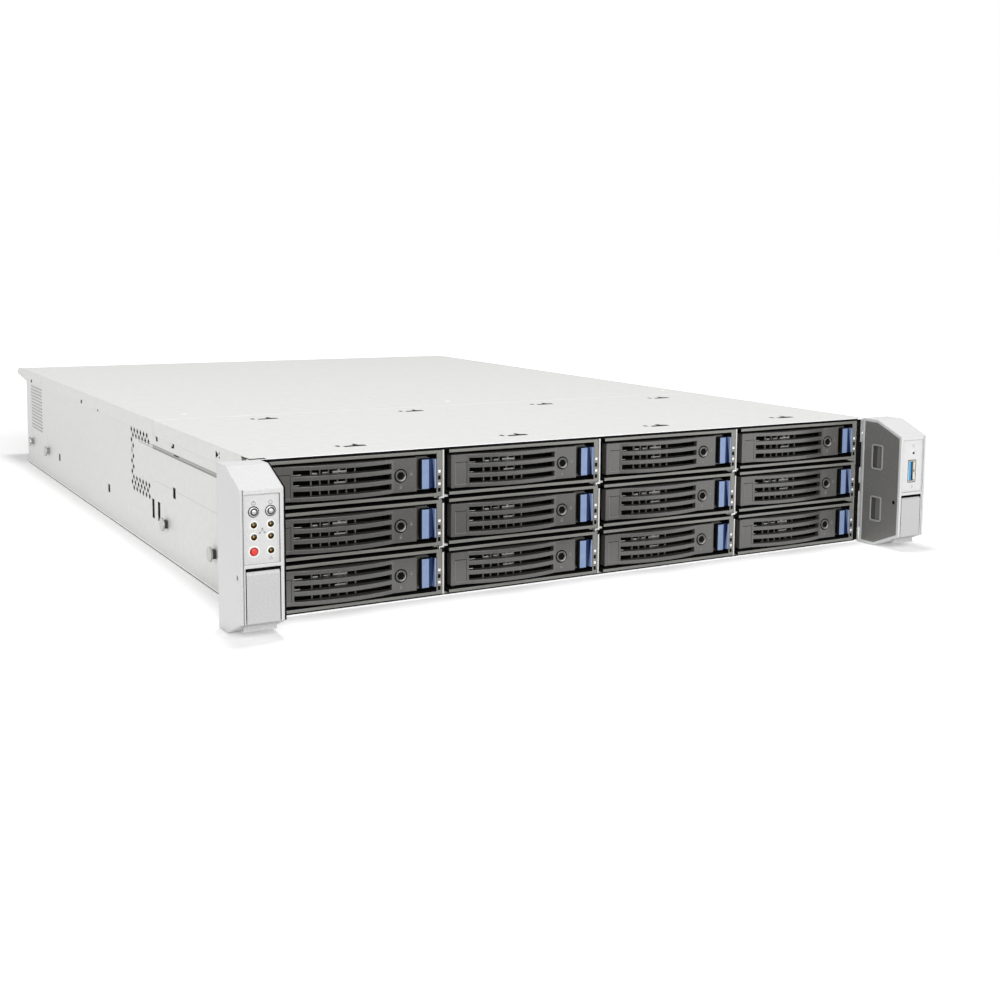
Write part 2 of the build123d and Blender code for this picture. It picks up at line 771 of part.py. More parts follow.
def ear_side_plate():
    """Dark plate in the rim of the ear's inner side, with two shallow windows and the hinge hole."""
    plate = side_profile(ear_outline(EAR_WALL), ear_inner, half_width)
    upper = ear_top + EAR_LIFT - WINDOW_EDGE - WINDOW_HEIGHT
    for low in (WINDOW_EDGE, upper):
        plate -= block(
            ear_inner - 1, ear_inner + WINDOW_DEPTH, -WINDOW_REAR - WINDOW_WIDTH, -WINDOW_REAR,
            low, low + WINDOW_HEIGHT,
        )
    return plate - hinge_hole(ear_inner + SIDE_PLATE / 2)


def ear_flap():
    """Flap over the rack screw: plate, rounded top on the hinge line, finger lip, two trunnion pins."""
    back = ear_front + FLAP_PLATE
    lip_front = ear_front + LIP_SETBACK
    lip_back = lip_front + LIP_THICKNESS
    lip_root = face_low - LIP_SETBACK * BEVEL_RISE / BEVEL_RUN
    cam_start = HINGE_HEIGHT + math.sqrt(CAM_RADIUS ** 2 - HINGE_DEPTH ** 2)
    cam_half = CAM_RADIUS * math.sqrt(0.5)
    side = Polyline(
        (hinge_y, HINGE_HEIGHT + CAM_RADIUS),
        (hinge_y + CAM_BACK, HINGE_HEIGHT + CAM_BACK),
        (hinge_y + CAM_BACK, HINGE_HEIGHT - CAM_BACK),
        (back, HINGE_HEIGHT - HINGE_DEPTH),
        (back, face_low + FLAP_PLATE),
        (lip_back, lip_root + FLAP_PLATE),
        (lip_back, lip_root - LIP_DROP),
        (lip_front, lip_root - LIP_DROP),
        (lip_front, lip_root),
        (ear_front, face_low),
        (ear_front, cam_start),
    )
    barrel = ThreePointArc(
        (ear_front, cam_start),
        (hinge_y - cam_half, HINGE_HEIGHT + cam_half),
        (hinge_y, HINGE_HEIGHT + CAM_RADIUS),
    )
    face = Plane.YZ.offset(flap_left) * make_face([side, barrel])
    flap = extrude(face, amount=flap_right - flap_left)
    for x0, x1 in ((ear_inner + HINGE_PIN_INSET, flap_left), (flap_right, ear_outer - HINGE_PIN_INSET)):
        pin = Rot(0, 90, 0) * many_sided(HINGE_PIN, PIVOT_SIDES, x1 - x0)
        flap += Pos((x0 + x1) / 2, hinge_y, HINGE_HEIGHT) * pin
    return flap


def panel_button(x, z, radius):
    """Push button: round cap in the panel hole and a square collar behind the panel."""
    half = radius + BUTTON_COLLAR
    middle = Pos(x, (ear_front + collar_front) / 2, z)
    button = middle * Rot(90, 0, 0) * many_sided(radius, CONTROL_SIDES, collar_front - ear_front)
    return button + block(x - half, x + half, collar_front, collar_front + BUTTON_COLLAR, z - half, z + half)


def control_board(front):
    """Small board behind a control panel, one edge on the side plate."""
    return block(
        half_width, ear_outer - EAR_WALL - FLAP_SIDE_PLAY, front, front + BOARD, PANEL_LOW, panel_high
    )


def panel_lamp(x, z, radius):
    """Round lamp window on the face of the control panel."""
    middle = Pos(x, panel_face - LAMP_PROUD / 2, z)
    return middle * Rot(90, 0, 0) * many_sided(radius, CONTROL_SIDES, LAMP_PROUD)


def status_lamps():
    """Lamp windows, and the board with the switches that the buttons press."""
    pieces = [control_board(switch_front + SWITCH)]
    for x, z in ((outer_x, button_z), (inner_x, button_z), (outer_x, reset_z)):
        pieces.append(
            block(x - SWITCH, x + SWITCH, switch_front, switch_front + SWITCH, z - SWITCH, z + SWITCH)
        )
    for x, z in lamp_places:
        pieces.append(panel_lamp(x, z, LAMP_RADIUS))
    return [flipped(piece) for piece in pieces]


def usb_port():
    """Upright USB socket with its tongue, a lamp window and the board that carries the socket."""
    back = panel_face + USB_LENGTH
    x0 = ear_outer - USB_EDGE - USB_WIDTH / 2
    x1 = x0 + USB_WIDTH
    z0 = panel_high - USB_DROP - USB_HEIGHT / 2
    z1 = z0 + USB_HEIGHT
    shell = block(x0, x1, panel_face, back, z0, z1)
    shell -= block(x0 + USB_WALL, x1 - USB_WALL, panel_face - 1, back - BOARD, z0 + USB_WALL, z1 - USB_WALL)
    tongue = block(
        x0 + USB_WALL, x0 + USB_WALL + USB_TONGUE, panel_face + USB_WALL, back - BOARD,
        z0 + 2 * USB_WALL, z1 - 2 * USB_WALL,
    )
    lamp = panel_lamp(ear_outer - PORT_LAMP_EDGE, button_z, PORT_LAMP_RADIUS)
    return [control_board(back), shell, tongue, lamp]


def fan_wall():
    """Sheet across the chassis with a square fan frame behind each opening."""
    half_sheet = wall_inner - BACKPLANE_MARGIN
    high = under_cover - BACKPLANE_MARGIN
    sheet = block(-half_sheet, half_sheet, fan_front - COVER, fan_front, FLOOR, high)
    half = fan_size / 2
    pieces = []
    for index in range(FAN_COUNT):
        x = fan_x(index)
        sheet -= block(
            x - fan_bore, x + fan_bore, fan_front - COVER - 1, fan_front + 1,
            fan_z - fan_bore, fan_z + fan_bore,
        )
        frame = block(x - half, x + half, fan_front, fan_back, fan_z - half, fan_z + half)
        bore = Rot(90, 0, 0) * many_sided_hole(fan_bore, FAN_SIDES, FAN_DEPTH + 2)
        frame -= Pos(x, (fan_front + fan_back) / 2, fan_z) * bore
        motor = Pos(x, fan_back - FAN_BAR / 2, fan_z)
        frame += motor * Box(2 * fan_bore + FAN_RIM, FAN_BAR, FAN_BAR)
        frame += motor * Box(FAN_BAR, FAN_BAR, 2 * fan_bore + FAN_RIM)
        frame += motor * Box(MOTOR_WIDTH, FAN_BAR, MOTOR_WIDTH)
        socket = many_sided_hole(AXLE_RADIUS + PIVOT_PLAY, PIVOT_SIDES, FAN_BAR + 2)
        frame -= motor * Rot(90, 0, 0) * socket
        pieces.append(frame)
    return [sheet] + pieces


def fan_rotor(index):
    """Hub on an axle with flat pitched blades."""
    front = fan_front + ROTOR_SETBACK
    back = fan_back - FAN_BAR - ROTOR_PLAY
    middle = Pos(fan_x(index), (front + back) / 2, fan_z)
    rotor = middle * Rot(90, 0, 0) * many_sided(HUB_RADIUS, HUB_SIDES, back - front)
    axle = many_sided(AXLE_RADIUS, PIVOT_SIDES, fan_back - back)
    rotor += Pos(fan_x(index), (back + fan_back) / 2, fan_z) * Rot(90, 0, 0) * axle
    span = fan_bore - ROTOR_PLAY - HUB_RADIUS
    vane = Rot(0, 0, BLADE_PITCH) * Box(BLADE, BLADE_CHORD, span)
    for blade in range(BLADES):
        turn = Rot(0, blade * 360 / BLADES, 0)
        rotor += middle * turn * Pos(0, 0, HUB_RADIUS - BLADE + span / 2) * vane
    return rotor


def power_supply(index):
    """Plug-in supply: case, mains inlet, exhaust slots and a loop handle."""
    x = psu_x(index)
    half = PSU_WIDTH / 2
    case = block(x - half, x + half, psu_front, psu_rear, psu_low, psu_high)
    inlet = x - INLET_SHIFT
    case -= block(
        inlet - INLET_WIDTH / 2, inlet + INLET_WIDTH / 2, psu_rear - INLET_DEPTH, psu_rear + 1,
        psu_z - INLET_HEIGHT / 2, psu_z + INLET_HEIGHT / 2,
    )
    for slot in range(EXHAUST_SLOTS):
        left = x + EXHAUST_SHIFT + slot * EXHAUST_PITCH
        case -= block(
            left, left + EXHAUST_WIDTH, psu_rear - EXHAUST_DEPTH, psu_rear + 1,
            psu_z - EXHAUST_HEIGHT / 2, psu_z + EXHAUST_HEIGHT / 2,
        )
    loop = block(
        x - HANDLE_WIDTH / 2, x + HANDLE_WIDTH / 2, psu_rear, psu_rear + HANDLE_REACH,
        psu_z - HANDLE_HEIGHT / 2, psu_z + HANDLE_HEIGHT / 2,
    )
    gap = HANDLE_HEIGHT / 2 - HANDLE_BAR
    loop -= block(
        x - HANDLE_WIDTH, x + HANDLE_WIDTH, psu_rear, psu_rear + HANDLE_REACH - HANDLE_BAR,
        psu_z - gap, psu_z + gap,
    )
    return case + loop


def through_panel(x0, x1, z0, z1):
    """Cutter through the rear panel."""
    return block(x0, x1, panel_front - 1, psu_rear, z0, z1)


def rear_panel():
    """Rear sheet with the supply openings, port holes, vents and card slots behind blank covers."""
    half = wall_inner - PANEL_PLAY
    cuts = []
    for index in range(PSU_COUNT):
        x = psu_x(index)
        reach = PSU_WIDTH / 2 + PSU_PLAY
        cuts.append(through_panel(x - reach, x + reach, FLOOR - 1, psu_high + PSU_PLAY))
    for offset, width, height in PORTS:
        x = board_left + offset
        reach = width / 2 + PORT_PLAY
        cuts.append(through_panel(x - reach, x + reach, board_z - PORT_PLAY, board_z + height + PORT_PLAY))
    for index in range(REAR_VENTS):
        x = board_left + BOARD_MARGIN + index * REAR_VENT_PITCH
        cuts.append(through_panel(x, x + REAR_VENT, REAR_VENT_LOW, under_cover - REAR_VENT_TOP_MARGIN))
    covers = []
    for index in range(CARD_SLOTS):
        z = card_low + index * CARD_PITCH
        cuts.append(through_panel(card_left, card_left + CARD_WIDTH, z, z + CARD_HEIGHT))
        covers.append(
            block(
                card_left - CARD_LAP, card_left + CARD_WIDTH + CARD_LAP, panel_front - COVER, panel_front,
                z - COVER, z + CARD_HEIGHT + COVER,
            )
        )
    sheet = block(-half, half, panel_front, CHASSIS_DEPTH, FLOOR, under_cover - PANEL_PLAY)
    return [sheet - cuts] + covers


def processor(x, y):
    """Socket block and a finned heatsink whose fins run from front to rear."""
    half = SOCKET / 2
    base = board_z + SOCKET_HEIGHT
    left = x - SINK_WIDTH / 2
    front = y - SINK_LENGTH / 2
    socket = block(x - half, x + half, y - half, y + half, board_z, base)
    sink = block(left, left + SINK_WIDTH, front, front + SINK_LENGTH, base, base + SINK_BASE)
    for index in range(SINK_FINS):
        fin = left + (SINK_WIDTH - SINK_FIN) * index / (SINK_FINS - 1)
        sink += block(
            fin, fin + SINK_FIN, front, front + SINK_LENGTH, base + SINK_BASE, base + SINK_HEIGHT
        )
    return [socket, sink]


def memory_modules(x, y):
    """Upright modules on both sides of a processor."""
    pieces = []
    for side in (-1, 1):
        for index in range(MODULES):
            middle = x + side * (SINK_WIDTH / 2 + MODULE_GAP + index * MODULE_PITCH)
            pieces.append(
                block(
                    middle - MODULE / 2, middle + MODULE / 2, y - MODULE_LENGTH / 2, y + MODULE_LENGTH / 2,
                    board_z, board_z + MODULE_HEIGHT,
                )
            )
    return pieces


def power_board():
    """Upright board that the supplies plug into, standing on the floor."""
    plug_rear = psu_front - SEAT_PLAY
    plug_front = plug_rear - PLUG_DEPTH
    right = psu_x(PSU_COUNT - 1) + PSU_WIDTH / 2
    pieces = [block(psu_left, right, plug_front - BOARD, plug_front, FLOOR, psu_high)]
    for index in range(PSU_COUNT):
        x = psu_x(index)
        low = psu_low + PLUG_LOW
        pieces.append(
            block(x - PLUG_WIDTH / 2, x + PLUG_WIDTH / 2, plug_front, plug_rear, low, low + PLUG_HEIGHT)
        )
    return pieces


def motherboard():
    """Main board on standoffs with processors, memory, rear ports, and the power board beside it."""
    pieces = [block(board_left, board_right, board_front, board_rear, board_z - BOARD, board_z)]
    half = STANDOFF / 2
    for x in (board_left + STANDOFF, (board_left + board_right) / 2, board_right - STANDOFF):
        for y in (board_front + STANDOFF, board_rear - STANDOFF):
            pieces.append(block(x - half, x + half, y - half, y + half, FLOOR, board_z - BOARD))
    for index in range(SOCKETS):
        x = board_left + (board_right - board_left) * (2 * index + 1) / (2 * SOCKETS)
        y = board_front + SOCKET_PLACE
        pieces.extend(processor(x, y))
        pieces.extend(memory_modules(x, y))
    for offset, width, height in PORTS:
        x = board_left + offset
        pieces.append(
            block(
                x - width / 2, x + width / 2, board_rear - PORT_DEPTH, CHASSIS_DEPTH,
                board_z, board_z + height,
            )
        )
    return pieces + power_board()


def build():
    """Write every node of the assembly."""
    os.makedirs("parts", exist_ok=True)
    carrier = drive_carrier()
    lever = carrier_lever()
    latch = lever_latch()
    for column in range(COLUMNS):
        for row in range(ROWS):
            place = Pos(column_x(column), 0, row_z(row))
            bay = f"{column + 1}_{row + 1}"
            save(f"carrier_{bay}", *[place * solid for solid in carrier])
            save(f"lever_{bay}", place * lever)
            save(f"latch_{bay}", place * latch)
    save("drive_cage", *drive_cage())
    save("backplane", *backplane())
    save("chassis_tray", *chassis_tray())
    save("rail_studs", *rail_studs())
    save("front_cover", front_cover())
    save("rear_cover", rear_cover())
    save("ear_left", left_ear())
    save("ear_right", right_ear())
    plate = ear_side_plate()
    save("ear_side_plates", plate, flipped(plate))
    flap = ear_flap()
    save("ear_flap_left", flipped(flap))
    save("ear_flap_right", flap)
    save("power_button", flipped(panel_button(outer_x, button_z, BUTTON_RADIUS)))
    save("id_button", flipped(panel_button(inner_x, button_z, BUTTON_RADIUS)))
    save("reset_button", flipped(panel_button(outer_x, reset_z, RESET_RADIUS)))
    save("status_lamps", *status_lamps())
    save("usb_port", *usb_port())
    save("fan_wall", *fan_wall())
    for index in range(FAN_COUNT):
        save(f"fan_rotor_{index + 1}", fan_rotor(index))
    for index in range(PSU_COUNT):
        save(f"power_supply_{index + 1}", power_supply(index))
    save("rear_panel", *rear_panel())
    save("motherboard", *motherboard())


build()
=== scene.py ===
import math

import bmesh
import bpy
from mathutils import Matrix, Vector


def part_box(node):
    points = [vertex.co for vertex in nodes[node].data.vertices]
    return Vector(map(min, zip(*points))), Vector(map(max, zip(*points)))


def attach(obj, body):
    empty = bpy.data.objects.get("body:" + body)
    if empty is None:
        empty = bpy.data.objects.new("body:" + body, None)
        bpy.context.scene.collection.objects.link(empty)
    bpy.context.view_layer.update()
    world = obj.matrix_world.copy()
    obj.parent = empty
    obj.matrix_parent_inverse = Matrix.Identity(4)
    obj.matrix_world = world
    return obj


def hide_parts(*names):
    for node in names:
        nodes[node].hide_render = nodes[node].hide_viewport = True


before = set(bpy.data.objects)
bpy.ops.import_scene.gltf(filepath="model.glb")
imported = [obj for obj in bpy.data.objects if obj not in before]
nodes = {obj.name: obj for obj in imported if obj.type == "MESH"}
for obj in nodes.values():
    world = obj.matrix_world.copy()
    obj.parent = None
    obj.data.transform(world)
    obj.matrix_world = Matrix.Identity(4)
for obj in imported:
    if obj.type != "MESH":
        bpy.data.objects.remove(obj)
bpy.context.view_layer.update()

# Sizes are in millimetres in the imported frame: X to the right, Y to the rear, Z up.
MM = 0.001
COLUMNS = 4
ROWS = 3
BAYS = [f"{column}_{row}" for column in range(1, COLUMNS + 1) for row in range(1, ROWS + 1)]


def span(node):
    """Lowest and highest corner of a CAD node in millimetres."""
    low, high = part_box(node)
    return Vector(low) / MM, Vector(high) / MM


cage_low, cage_high = span("drive_cage")
ear_low, ear_high = span("ear_right")
cover_low, cover_high = span("front_cover")
power_low, power_high = span("power_button")
FRONT = cage_low.y
DRIVE_FRONT = FRONT + 14.1
LEVER_FACE = FRONT + 1.0
EAR_FACE = ear_low.y
PANEL_FACE = EAR_FACE + 1.0
EAR_OUTER = ear_high.x
# The widest pieces of the tray stand 1.2 mm out from its side walls.
WALL_FACE = span("chassis_tray")[1].x - 1.2
TOP = cover_high.z
PANEL_HIGH = (power_low.z + power_high.z) / 2 + 9.0
SOCKET_X = EAR_OUTER - 11.2
SOCKET_Z = PANEL_HIGH - 21.5


# Colours and materials

def srgb(code):
    """Linear colour of an sRGB hex value."""
    parts = [int(code[i:i + 2], 16) / 255 for i in (1, 3, 5)]
    line = [p / 12.92 if p <= 0.04045 else ((p + 0.055) / 1.055) ** 2.4 for p in parts]
    return (line[0], line[1], line[2], 1.0)


def add(tree, kind, values=None, links=None, **settings):
    """One node with its settings, its input values and the sockets that feed it."""
    node = tree.nodes.new(kind)
    for name, value in settings.items():
        setattr(node, name, value)
    for name, value in (values or {}).items():
        node.inputs[name].default_value = value
    for name, source in (links or {}).items():
        tree.links.new(source, node.inputs[name])
    return node


def surface(name, roughness, metallic=0.0, **more):
    """A new material with its node tree, its shader and the object coordinates."""
    material = bpy.data.materials.new(name)
    material.use_nodes = True
    tree = material.node_tree
    shader = tree.nodes["Principled BSDF"]
    shader.inputs["Roughness"].default_value = roughness
    shader.inputs["Metallic"].default_value = metallic
    for socket, value in more.items():
        shader.inputs[socket.replace("_", " ")].default_value = value
    place = add(tree, "ShaderNodeTexCoord").outputs["Object"]
    return material, tree, shader, place


def noise(tree, place, size_mm, detail):
    """Noise whose features measure about this many millimetres."""
    values = {"Scale": 1.0 / (size_mm * MM), "Detail": detail}
    return add(tree, "ShaderNodeTexNoise", values, {"Vector": place}).outputs["Fac"]


def mottle(tree, place, size_mm, dark, light, low=0.3, high=0.7):
    """Colour that drifts between two hex values over patches of this size."""
    ramp = add(tree, "ShaderNodeValToRGB", links={"Fac": noise(tree, place, size_mm, 2.0)})
    ramp.color_ramp.elements[0].position = low
    ramp.color_ramp.elements[0].color = srgb(dark)
    ramp.color_ramp.elements[1].position = high
    ramp.color_ramp.elements[1].color = srgb(light)
    return ramp.outputs["Color"]


def grit(tree, shader, place, size_mm, height_mm, edge_mm=0.2):
    """Fine moulded or sprayed grain as bump, over edges that catch the light as if rounded."""
    grain = noise(tree, place, size_mm, 3.0)
    eased = add(tree, "ShaderNodeBevel", {"Radius": edge_mm * MM}, samples=6)
    bump = add(
        tree, "ShaderNodeBump", {"Strength": 1.0, "Distance": height_mm * MM},
        {"Height": grain, "Normal": eased.outputs["Normal"]},
    )
    tree.links.new(bump.outputs["Normal"], shader.inputs["Normal"])


def grained(name, roughness, cloud, grain, metallic=0.0, **more):
    """A finish with the drifting colour that mottle makes and, if asked for, the grain that grit makes."""
    material, tree, shader, place = surface(name, roughness, metallic, **more)
    tree.links.new(mottle(tree, place, *cloud), shader.inputs["Base Color"])
    if grain:
        grit(tree, shader, place, *grain)
    return material


def plain(name, code, roughness, metallic=0.0, **more):
    """An even finish with only a faint grain, for pieces a few millimetres across."""
    material, tree, shader, place = surface(name, roughness, metallic, **more)
    shader.inputs["Base Color"].default_value = srgb(code)
    grit(tree, shader, place, 0.5, 0.004)
    return material


# Zinc-plated sheet steel, cold rolled: pale and satin, with a faint cloudy spangle.
# The rolled grain is about 0.1 mm on the real sheet, drawn at 0.8 mm so that it shows.
zinc = grained("zinc_plated_sheet", 0.46, (5.0, "#DEDEDC", "#E3E3E1"), (0.8, 0.01, 0.5), 0.25)
# Sheared edge of zinc-plated sheet: brighter than the faces, slightly rough.
zinc_edge = grained("bright_zinc_edge", 0.35, (2.0, "#E2E2E0", "#F2F2F0"), None, 0.6)
# Die casting under silver lacquer: even satin with a very fine flake.
lacquer = grained(
    "silver_lacquer", 0.38, (0.9, "#D3D3D3", "#DADADA", 0.35, 0.65), (0.7, 0.012, 0.8), 0.15,
    Coat_Weight=0.15,
)
# Flap moulded in silver-filled plastic: grainier and greyer than the lacquer round it.
flap_finish = grained("speckled_flap", 0.52, (0.8, "#B9B9B9", "#C4C4C4", 0.36, 0.64), (0.8, 0.005), 0.1)
# Die-cast plate in satin graphite paint, on the inner side of the ears.
plate_finish = grained("dark_grey_plate", 0.42, (1.0, "#74736F", "#7E7D79"), (0.7, 0.012), 0.3)
# Glass-filled nylon, moulded: dark grey with a fine grain that greys the highlights.
carrier_nylon = grained(
    "carrier_nylon", 0.32, (0.9, "#71706B", "#7D7C77"), (0.6, 0.02, 0.6), Specular_IOR_Level=0.95,
)
lever_nylon = grained(
    "lever_nylon", 0.3, (0.9, "#4C4B49", "#575654"), (0.6, 0.02, 0.6), Specular_IOR_Level=0.95,
)
# Near-black nylon as painted shade deep inside the carriers, behind the lever slots, and on the back faces
# of the levers.
inner_nylon_painted_shade = plain("inner_nylon_painted_shade", "#0A0A09", 0.85, Specular_IOR_Level=0.15)
# ABS moulded in blue, satin: even colour with a soft highlight along its ridges.
blue = grained("blue_abs", 0.34, (4.0, "#7A8DB1", "#8295B9"), (0.6, 0.006, 0.5))
# The same blue ABS, darkened as painted shade on the slope and in the floor of the thumb groove.
blue_painted_shade_slope = plain("blue_abs_painted_shade_slope", "#2C436C", 0.4)
blue_painted_shade_groove = plain("blue_abs_painted_shade_groove", "#0E2248", 0.5)
# Sheared front edges of the cage dividers: darker than the outside edges, as painted shade.
divider_edge_painted_shade = plain("divider_edge_painted_shade", "#CFCFCD", 0.4, 0.15)
# Lacquer on the small walls of the inset panels, in half shade.
lacquer_shade = plain("silver_lacquer_shade", "#7E7E7E", 0.5)
# The same lacquer on the wall of the left panel that lies in the deepest shade.
lacquer_deep = plain("silver_lacquer_deep_shade", "#3A3A3A", 0.6, Specular_IOR_Level=0.1)
# Raised rims of the dark side plates, lighter as painted highlight, and a dark grey for painted shade: in
# the window pockets, on the front stud shanks and in the groove of the silver caps.
plate_rim_painted_highlight = plain("plate_rim_painted_highlight", "#A3A29F", 0.4, 0.2)
dark_painted_shade = plain("dark_grey_painted_shade", "#3C3C3A", 0.6)
# White as painted glints on the drive's bracket inside the drive's front, seen through the lever slots.
drive_glint = plain("drive_bracket_painted_glint", "#F4F4F0", 0.3)
# White for painted highlights on rolled edges, the folded seam and the pressed dots.
white_painted_highlight = plain("white_painted_highlight_edge", "#FFFFFF", 0.3)
# Zinc-plated rail studs, darker than the sheet.
stud_zinc = plain("stud_zinc", "#BDBDBB", 0.35, 0.6)
# Pressed seams and dimples in the sheet, a shade darker than the sheet; also painted shade on the lips of
# the side groove and on the stud shanks.
seam_grey = plain("pressed_seam", "#9C9C9A", 0.6)
# Lighter nylon as painted highlight: on the lower right edge of the lock's collar and on the ribs behind the
# lever slots, which lie in shade.
nylon_painted_highlight = plain("nylon_painted_highlight", "#A5A39E", 0.35)
# Clear polycarbonate light pipe ends, frosted white.
light_pipe = plain("frosted_polycarbonate", "#F2F2EE", 0.25)
# White ABS of the bezel rings and the light parts in the socket.
white_abs = plain("white_abs", "#F0F0EC", 0.35)
# Amber acrylic lens, unlit, so it looks nearly black with a brown glow.
amber = plain("amber_acrylic", "#33240A", 0.06, Coat_Weight=0.6)
# Golden colour: a painted highlight on the amber lenses of the front lamps, and the lenses of the lamps on
# the rear sockets.
amber_lens_and_painted_highlight = plain("golden_lens_and_painted_highlight", "#B9945A", 0.3)
# Red ABS cap, polished.
red = plain("red_abs", "#E0453E", 0.25)
red_shade = plain("red_abs_shoulder", "#A82A26", 0.3)
# Turned aluminium caps of the two push buttons.
aluminium = plain("turned_aluminium", "#E2E2E2", 0.3, 0.4)
# Nickel-plated steel of sockets and screws.
nickel = plain("nickel_plated_steel", "#B9B9B7", 0.28, 1.0)
# Gold flash on connector contacts.
gold = plain("gold_flash", "#D9B25C", 0.25, 1.0)
# Blue insulator of the fast USB socket.
usb_blue = plain("usb_insulator", "#2A9CDC", 0.35)
# Bronze spring strip of the socket.
contact_bronze = plain("contact_bronze", "#8E7F66", 0.4, 0.5)
# Tin-plated shell of the socket, paler than nickel.
socket_tin = plain("tin_plated_shell", "#DCDCD6", 0.35, 0.2)
# Black nylon of sockets and fans.
black_nylon = plain("black_nylon", "#141414", 0.5)
# Soot-black gap: deep recesses that no light reaches.
gap_black = plain("recess_black", "#080808", 0.8, Specular_IOR_Level=0.1)
# Grey screen-printed marks.
print_grey = plain("screen_print_grey", "#8E8E8E", 0.6)
# Mould mark on dark nylon, a shade lighter than its ground.
mark_grey = plain("moulded_mark", "#7A7976", 0.5)
# Drive housing: bare cast aluminium.
drive_cast = plain("drive_casting", "#8F9193", 0.4, 0.8)
# Case of the power supplies: bare zinc-plated steel, a shade darker than the chassis.
supply_sheet = plain("supply_sheet", "#B4B5B5", 0.4, 0.7)
# Green solder resist over glass-fibre board, with the lighter ghost of buried tracks.
board_green = grained("solder_resist", 0.4, (3.0, "#1B4A2E", "#25613D", 0.45, 0.55), None)


# Mesh tools

def add_box(bm, x0, x1, y0, y1, z0, z1, slot=0):
    """A box between two corners in millimetres."""
    made = bmesh.ops.create_cube(bm, size=1.0)
    centre = Vector(((x0 + x1) / 2, (y0 + y1) / 2, (z0 + z1) / 2)) * MM
    size = Vector((abs(x1 - x0), abs(y1 - y0), abs(z1 - z0))) * MM
    for vertex in made["verts"]:
        vertex.co = Vector([vertex.co[i] * size[i] + centre[i] for i in range(3)])
    for face in {face for vertex in made["verts"] for face in vertex.link_faces}:
        face.material_index = slot
    return made["verts"]


def add_boxes(bm, origin, rows):
    """Boxes measured from one origin: left, right, front, back, low, high and slot."""
    x, y, z = origin
    for left, right, front, back, low, high, slot in rows:
        add_box(bm, x + left, x + right, y + front, y + back, z + low, z + high, slot)


FACING = {
    "-Y": Matrix.Rotation(math.pi / 2, 4, "X"),
    "+Y": Matrix.Rotation(-math.pi / 2, 4, "X"),
    "-X": Matrix.Rotation(-math.pi / 2, 4, "Y"),
    "+X": Matrix.Rotation(math.pi / 2, 4, "Y"),
    "+Z": Matrix.Identity(4),
}


def add_turned(bm, profile, centre, facing, steps=28, slot=0, closed=False):
    """A turned shape: (radius, height) pairs in millimetres spun about an axis that points along facing."""
    turn = Matrix.Translation(Vector(centre) * MM) @ FACING[facing]
    rings = []
    for radius, height in profile:
        if radius == 0:
            rings.append([bm.verts.new(turn @ Vector((0, 0, height * MM)))])
            continue
        ring = []
        for index in range(steps):
            angle = 2 * math.pi * index / steps
            spot = Vector((radius * math.cos(angle), radius * math.sin(angle), height)) * MM
            ring.append(bm.verts.new(turn @ spot))
        rings.append(ring)
    pairs = list(zip(rings, rings[1:]))
    if closed:
        pairs.append((rings[-1], rings[0]))
    for first, second in pairs:
        for index in range(steps):
            corners = [first[index % len(first)], first[(index + 1) % len(first)]]
            corners += [second[(index + 1) % len(second)], second[index % len(second)]]
            corners = list(dict.fromkeys(corners))
            face = bm.faces.new(corners)
            face.material_index = slot
            face.smooth = len(profile) > 2


def add_rim(bm, size, corner, rim, heights, centre, facing, slot=0):
    """A rounded frame of a given size, corner radius and rim width, from a low to a high level."""
    turn = Matrix.Translation(Vector(centre) * MM) @ FACING[facing]
    count = 24
    loops = []
    for inset, height in ((0, heights[0]), (0, heights[1]), (rim, heights[1]), (rim, heights[0])):
        radius = max(corner - inset, 0.05)
        loop = []
        for index in range(count):
            angle = 2 * math.pi * (index + 0.5) / count
            way = (math.cos(angle), math.sin(angle))
            flat = [math.copysign(size[i] / 2 - inset - radius, way[i]) + radius * way[i] for i in (0, 1)]
            loop.append(bm.verts.new(turn @ (Vector((*flat, height)) * MM)))
        loops.append(loop)
    for first, second in zip(loops, loops[1:] + loops[:1]):
        for index in range(count):
            follow = (index + 1) % count
            face = bm.faces.new((first[index], first[follow], second[follow], second[index]))
            face.material_index = slot


def add_prism(bm, outline, low, high, axis="Z"):
    """A flat shape in millimetres: an outline between two levels along Z, or along X."""
    ends = []
    for level in (low, high):
        spots = [(a, b, level) if axis == "Z" else (level, a, b) for a, b in outline]
        ends.append([bm.verts.new(Vector(spot) * MM) for spot in spots])
    floor, roof = ends
    bm.faces.new(floor)
    bm.faces.new(roof)
    for index in range(len(outline)):
        follow = (index + 1) % len(outline)
        bm.faces.new((floor[index], floor[follow], roof[follow], roof[index]))


def linked(name, data):
    """A new object in the scene."""
    thing = bpy.data.objects.new(name, data)
    bpy.context.scene.collection.objects.link(thing)
    return thing


def finished(name, bm):
    """The mesh as an object in the scene, with its faces turned outward."""
    bmesh.ops.recalc_face_normals(bm, faces=bm.faces[:])
    mesh = bpy.data.meshes.new(name)
    bm.to_mesh(mesh)
    bm.free()
    return linked(name, mesh)


def piece(name, bm, materials, body):
    """Turn the mesh into a finished object that rides on a body."""
    thing = finished(name, bm)
    for material in materials:
        thing.data.materials.append(material)
    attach(thing, body)
    return thing


# Repeats made by geometry nodes

def new_tree(name, sockets):
    """A geometry tree with these inputs and one geometry output, and what its input node hands on."""
    tree = bpy.data.node_groups.new(name, "GeometryNodeTree")
    for socket, kind in sockets.items():
        tree.interface.new_socket(socket, in_out="INPUT", socket_type="NodeSocket" + kind)
    tree.interface.new_socket("Geometry", in_out="OUTPUT", socket_type="NodeSocketGeometry")
    return tree, add(tree, "NodeGroupInput").outputs


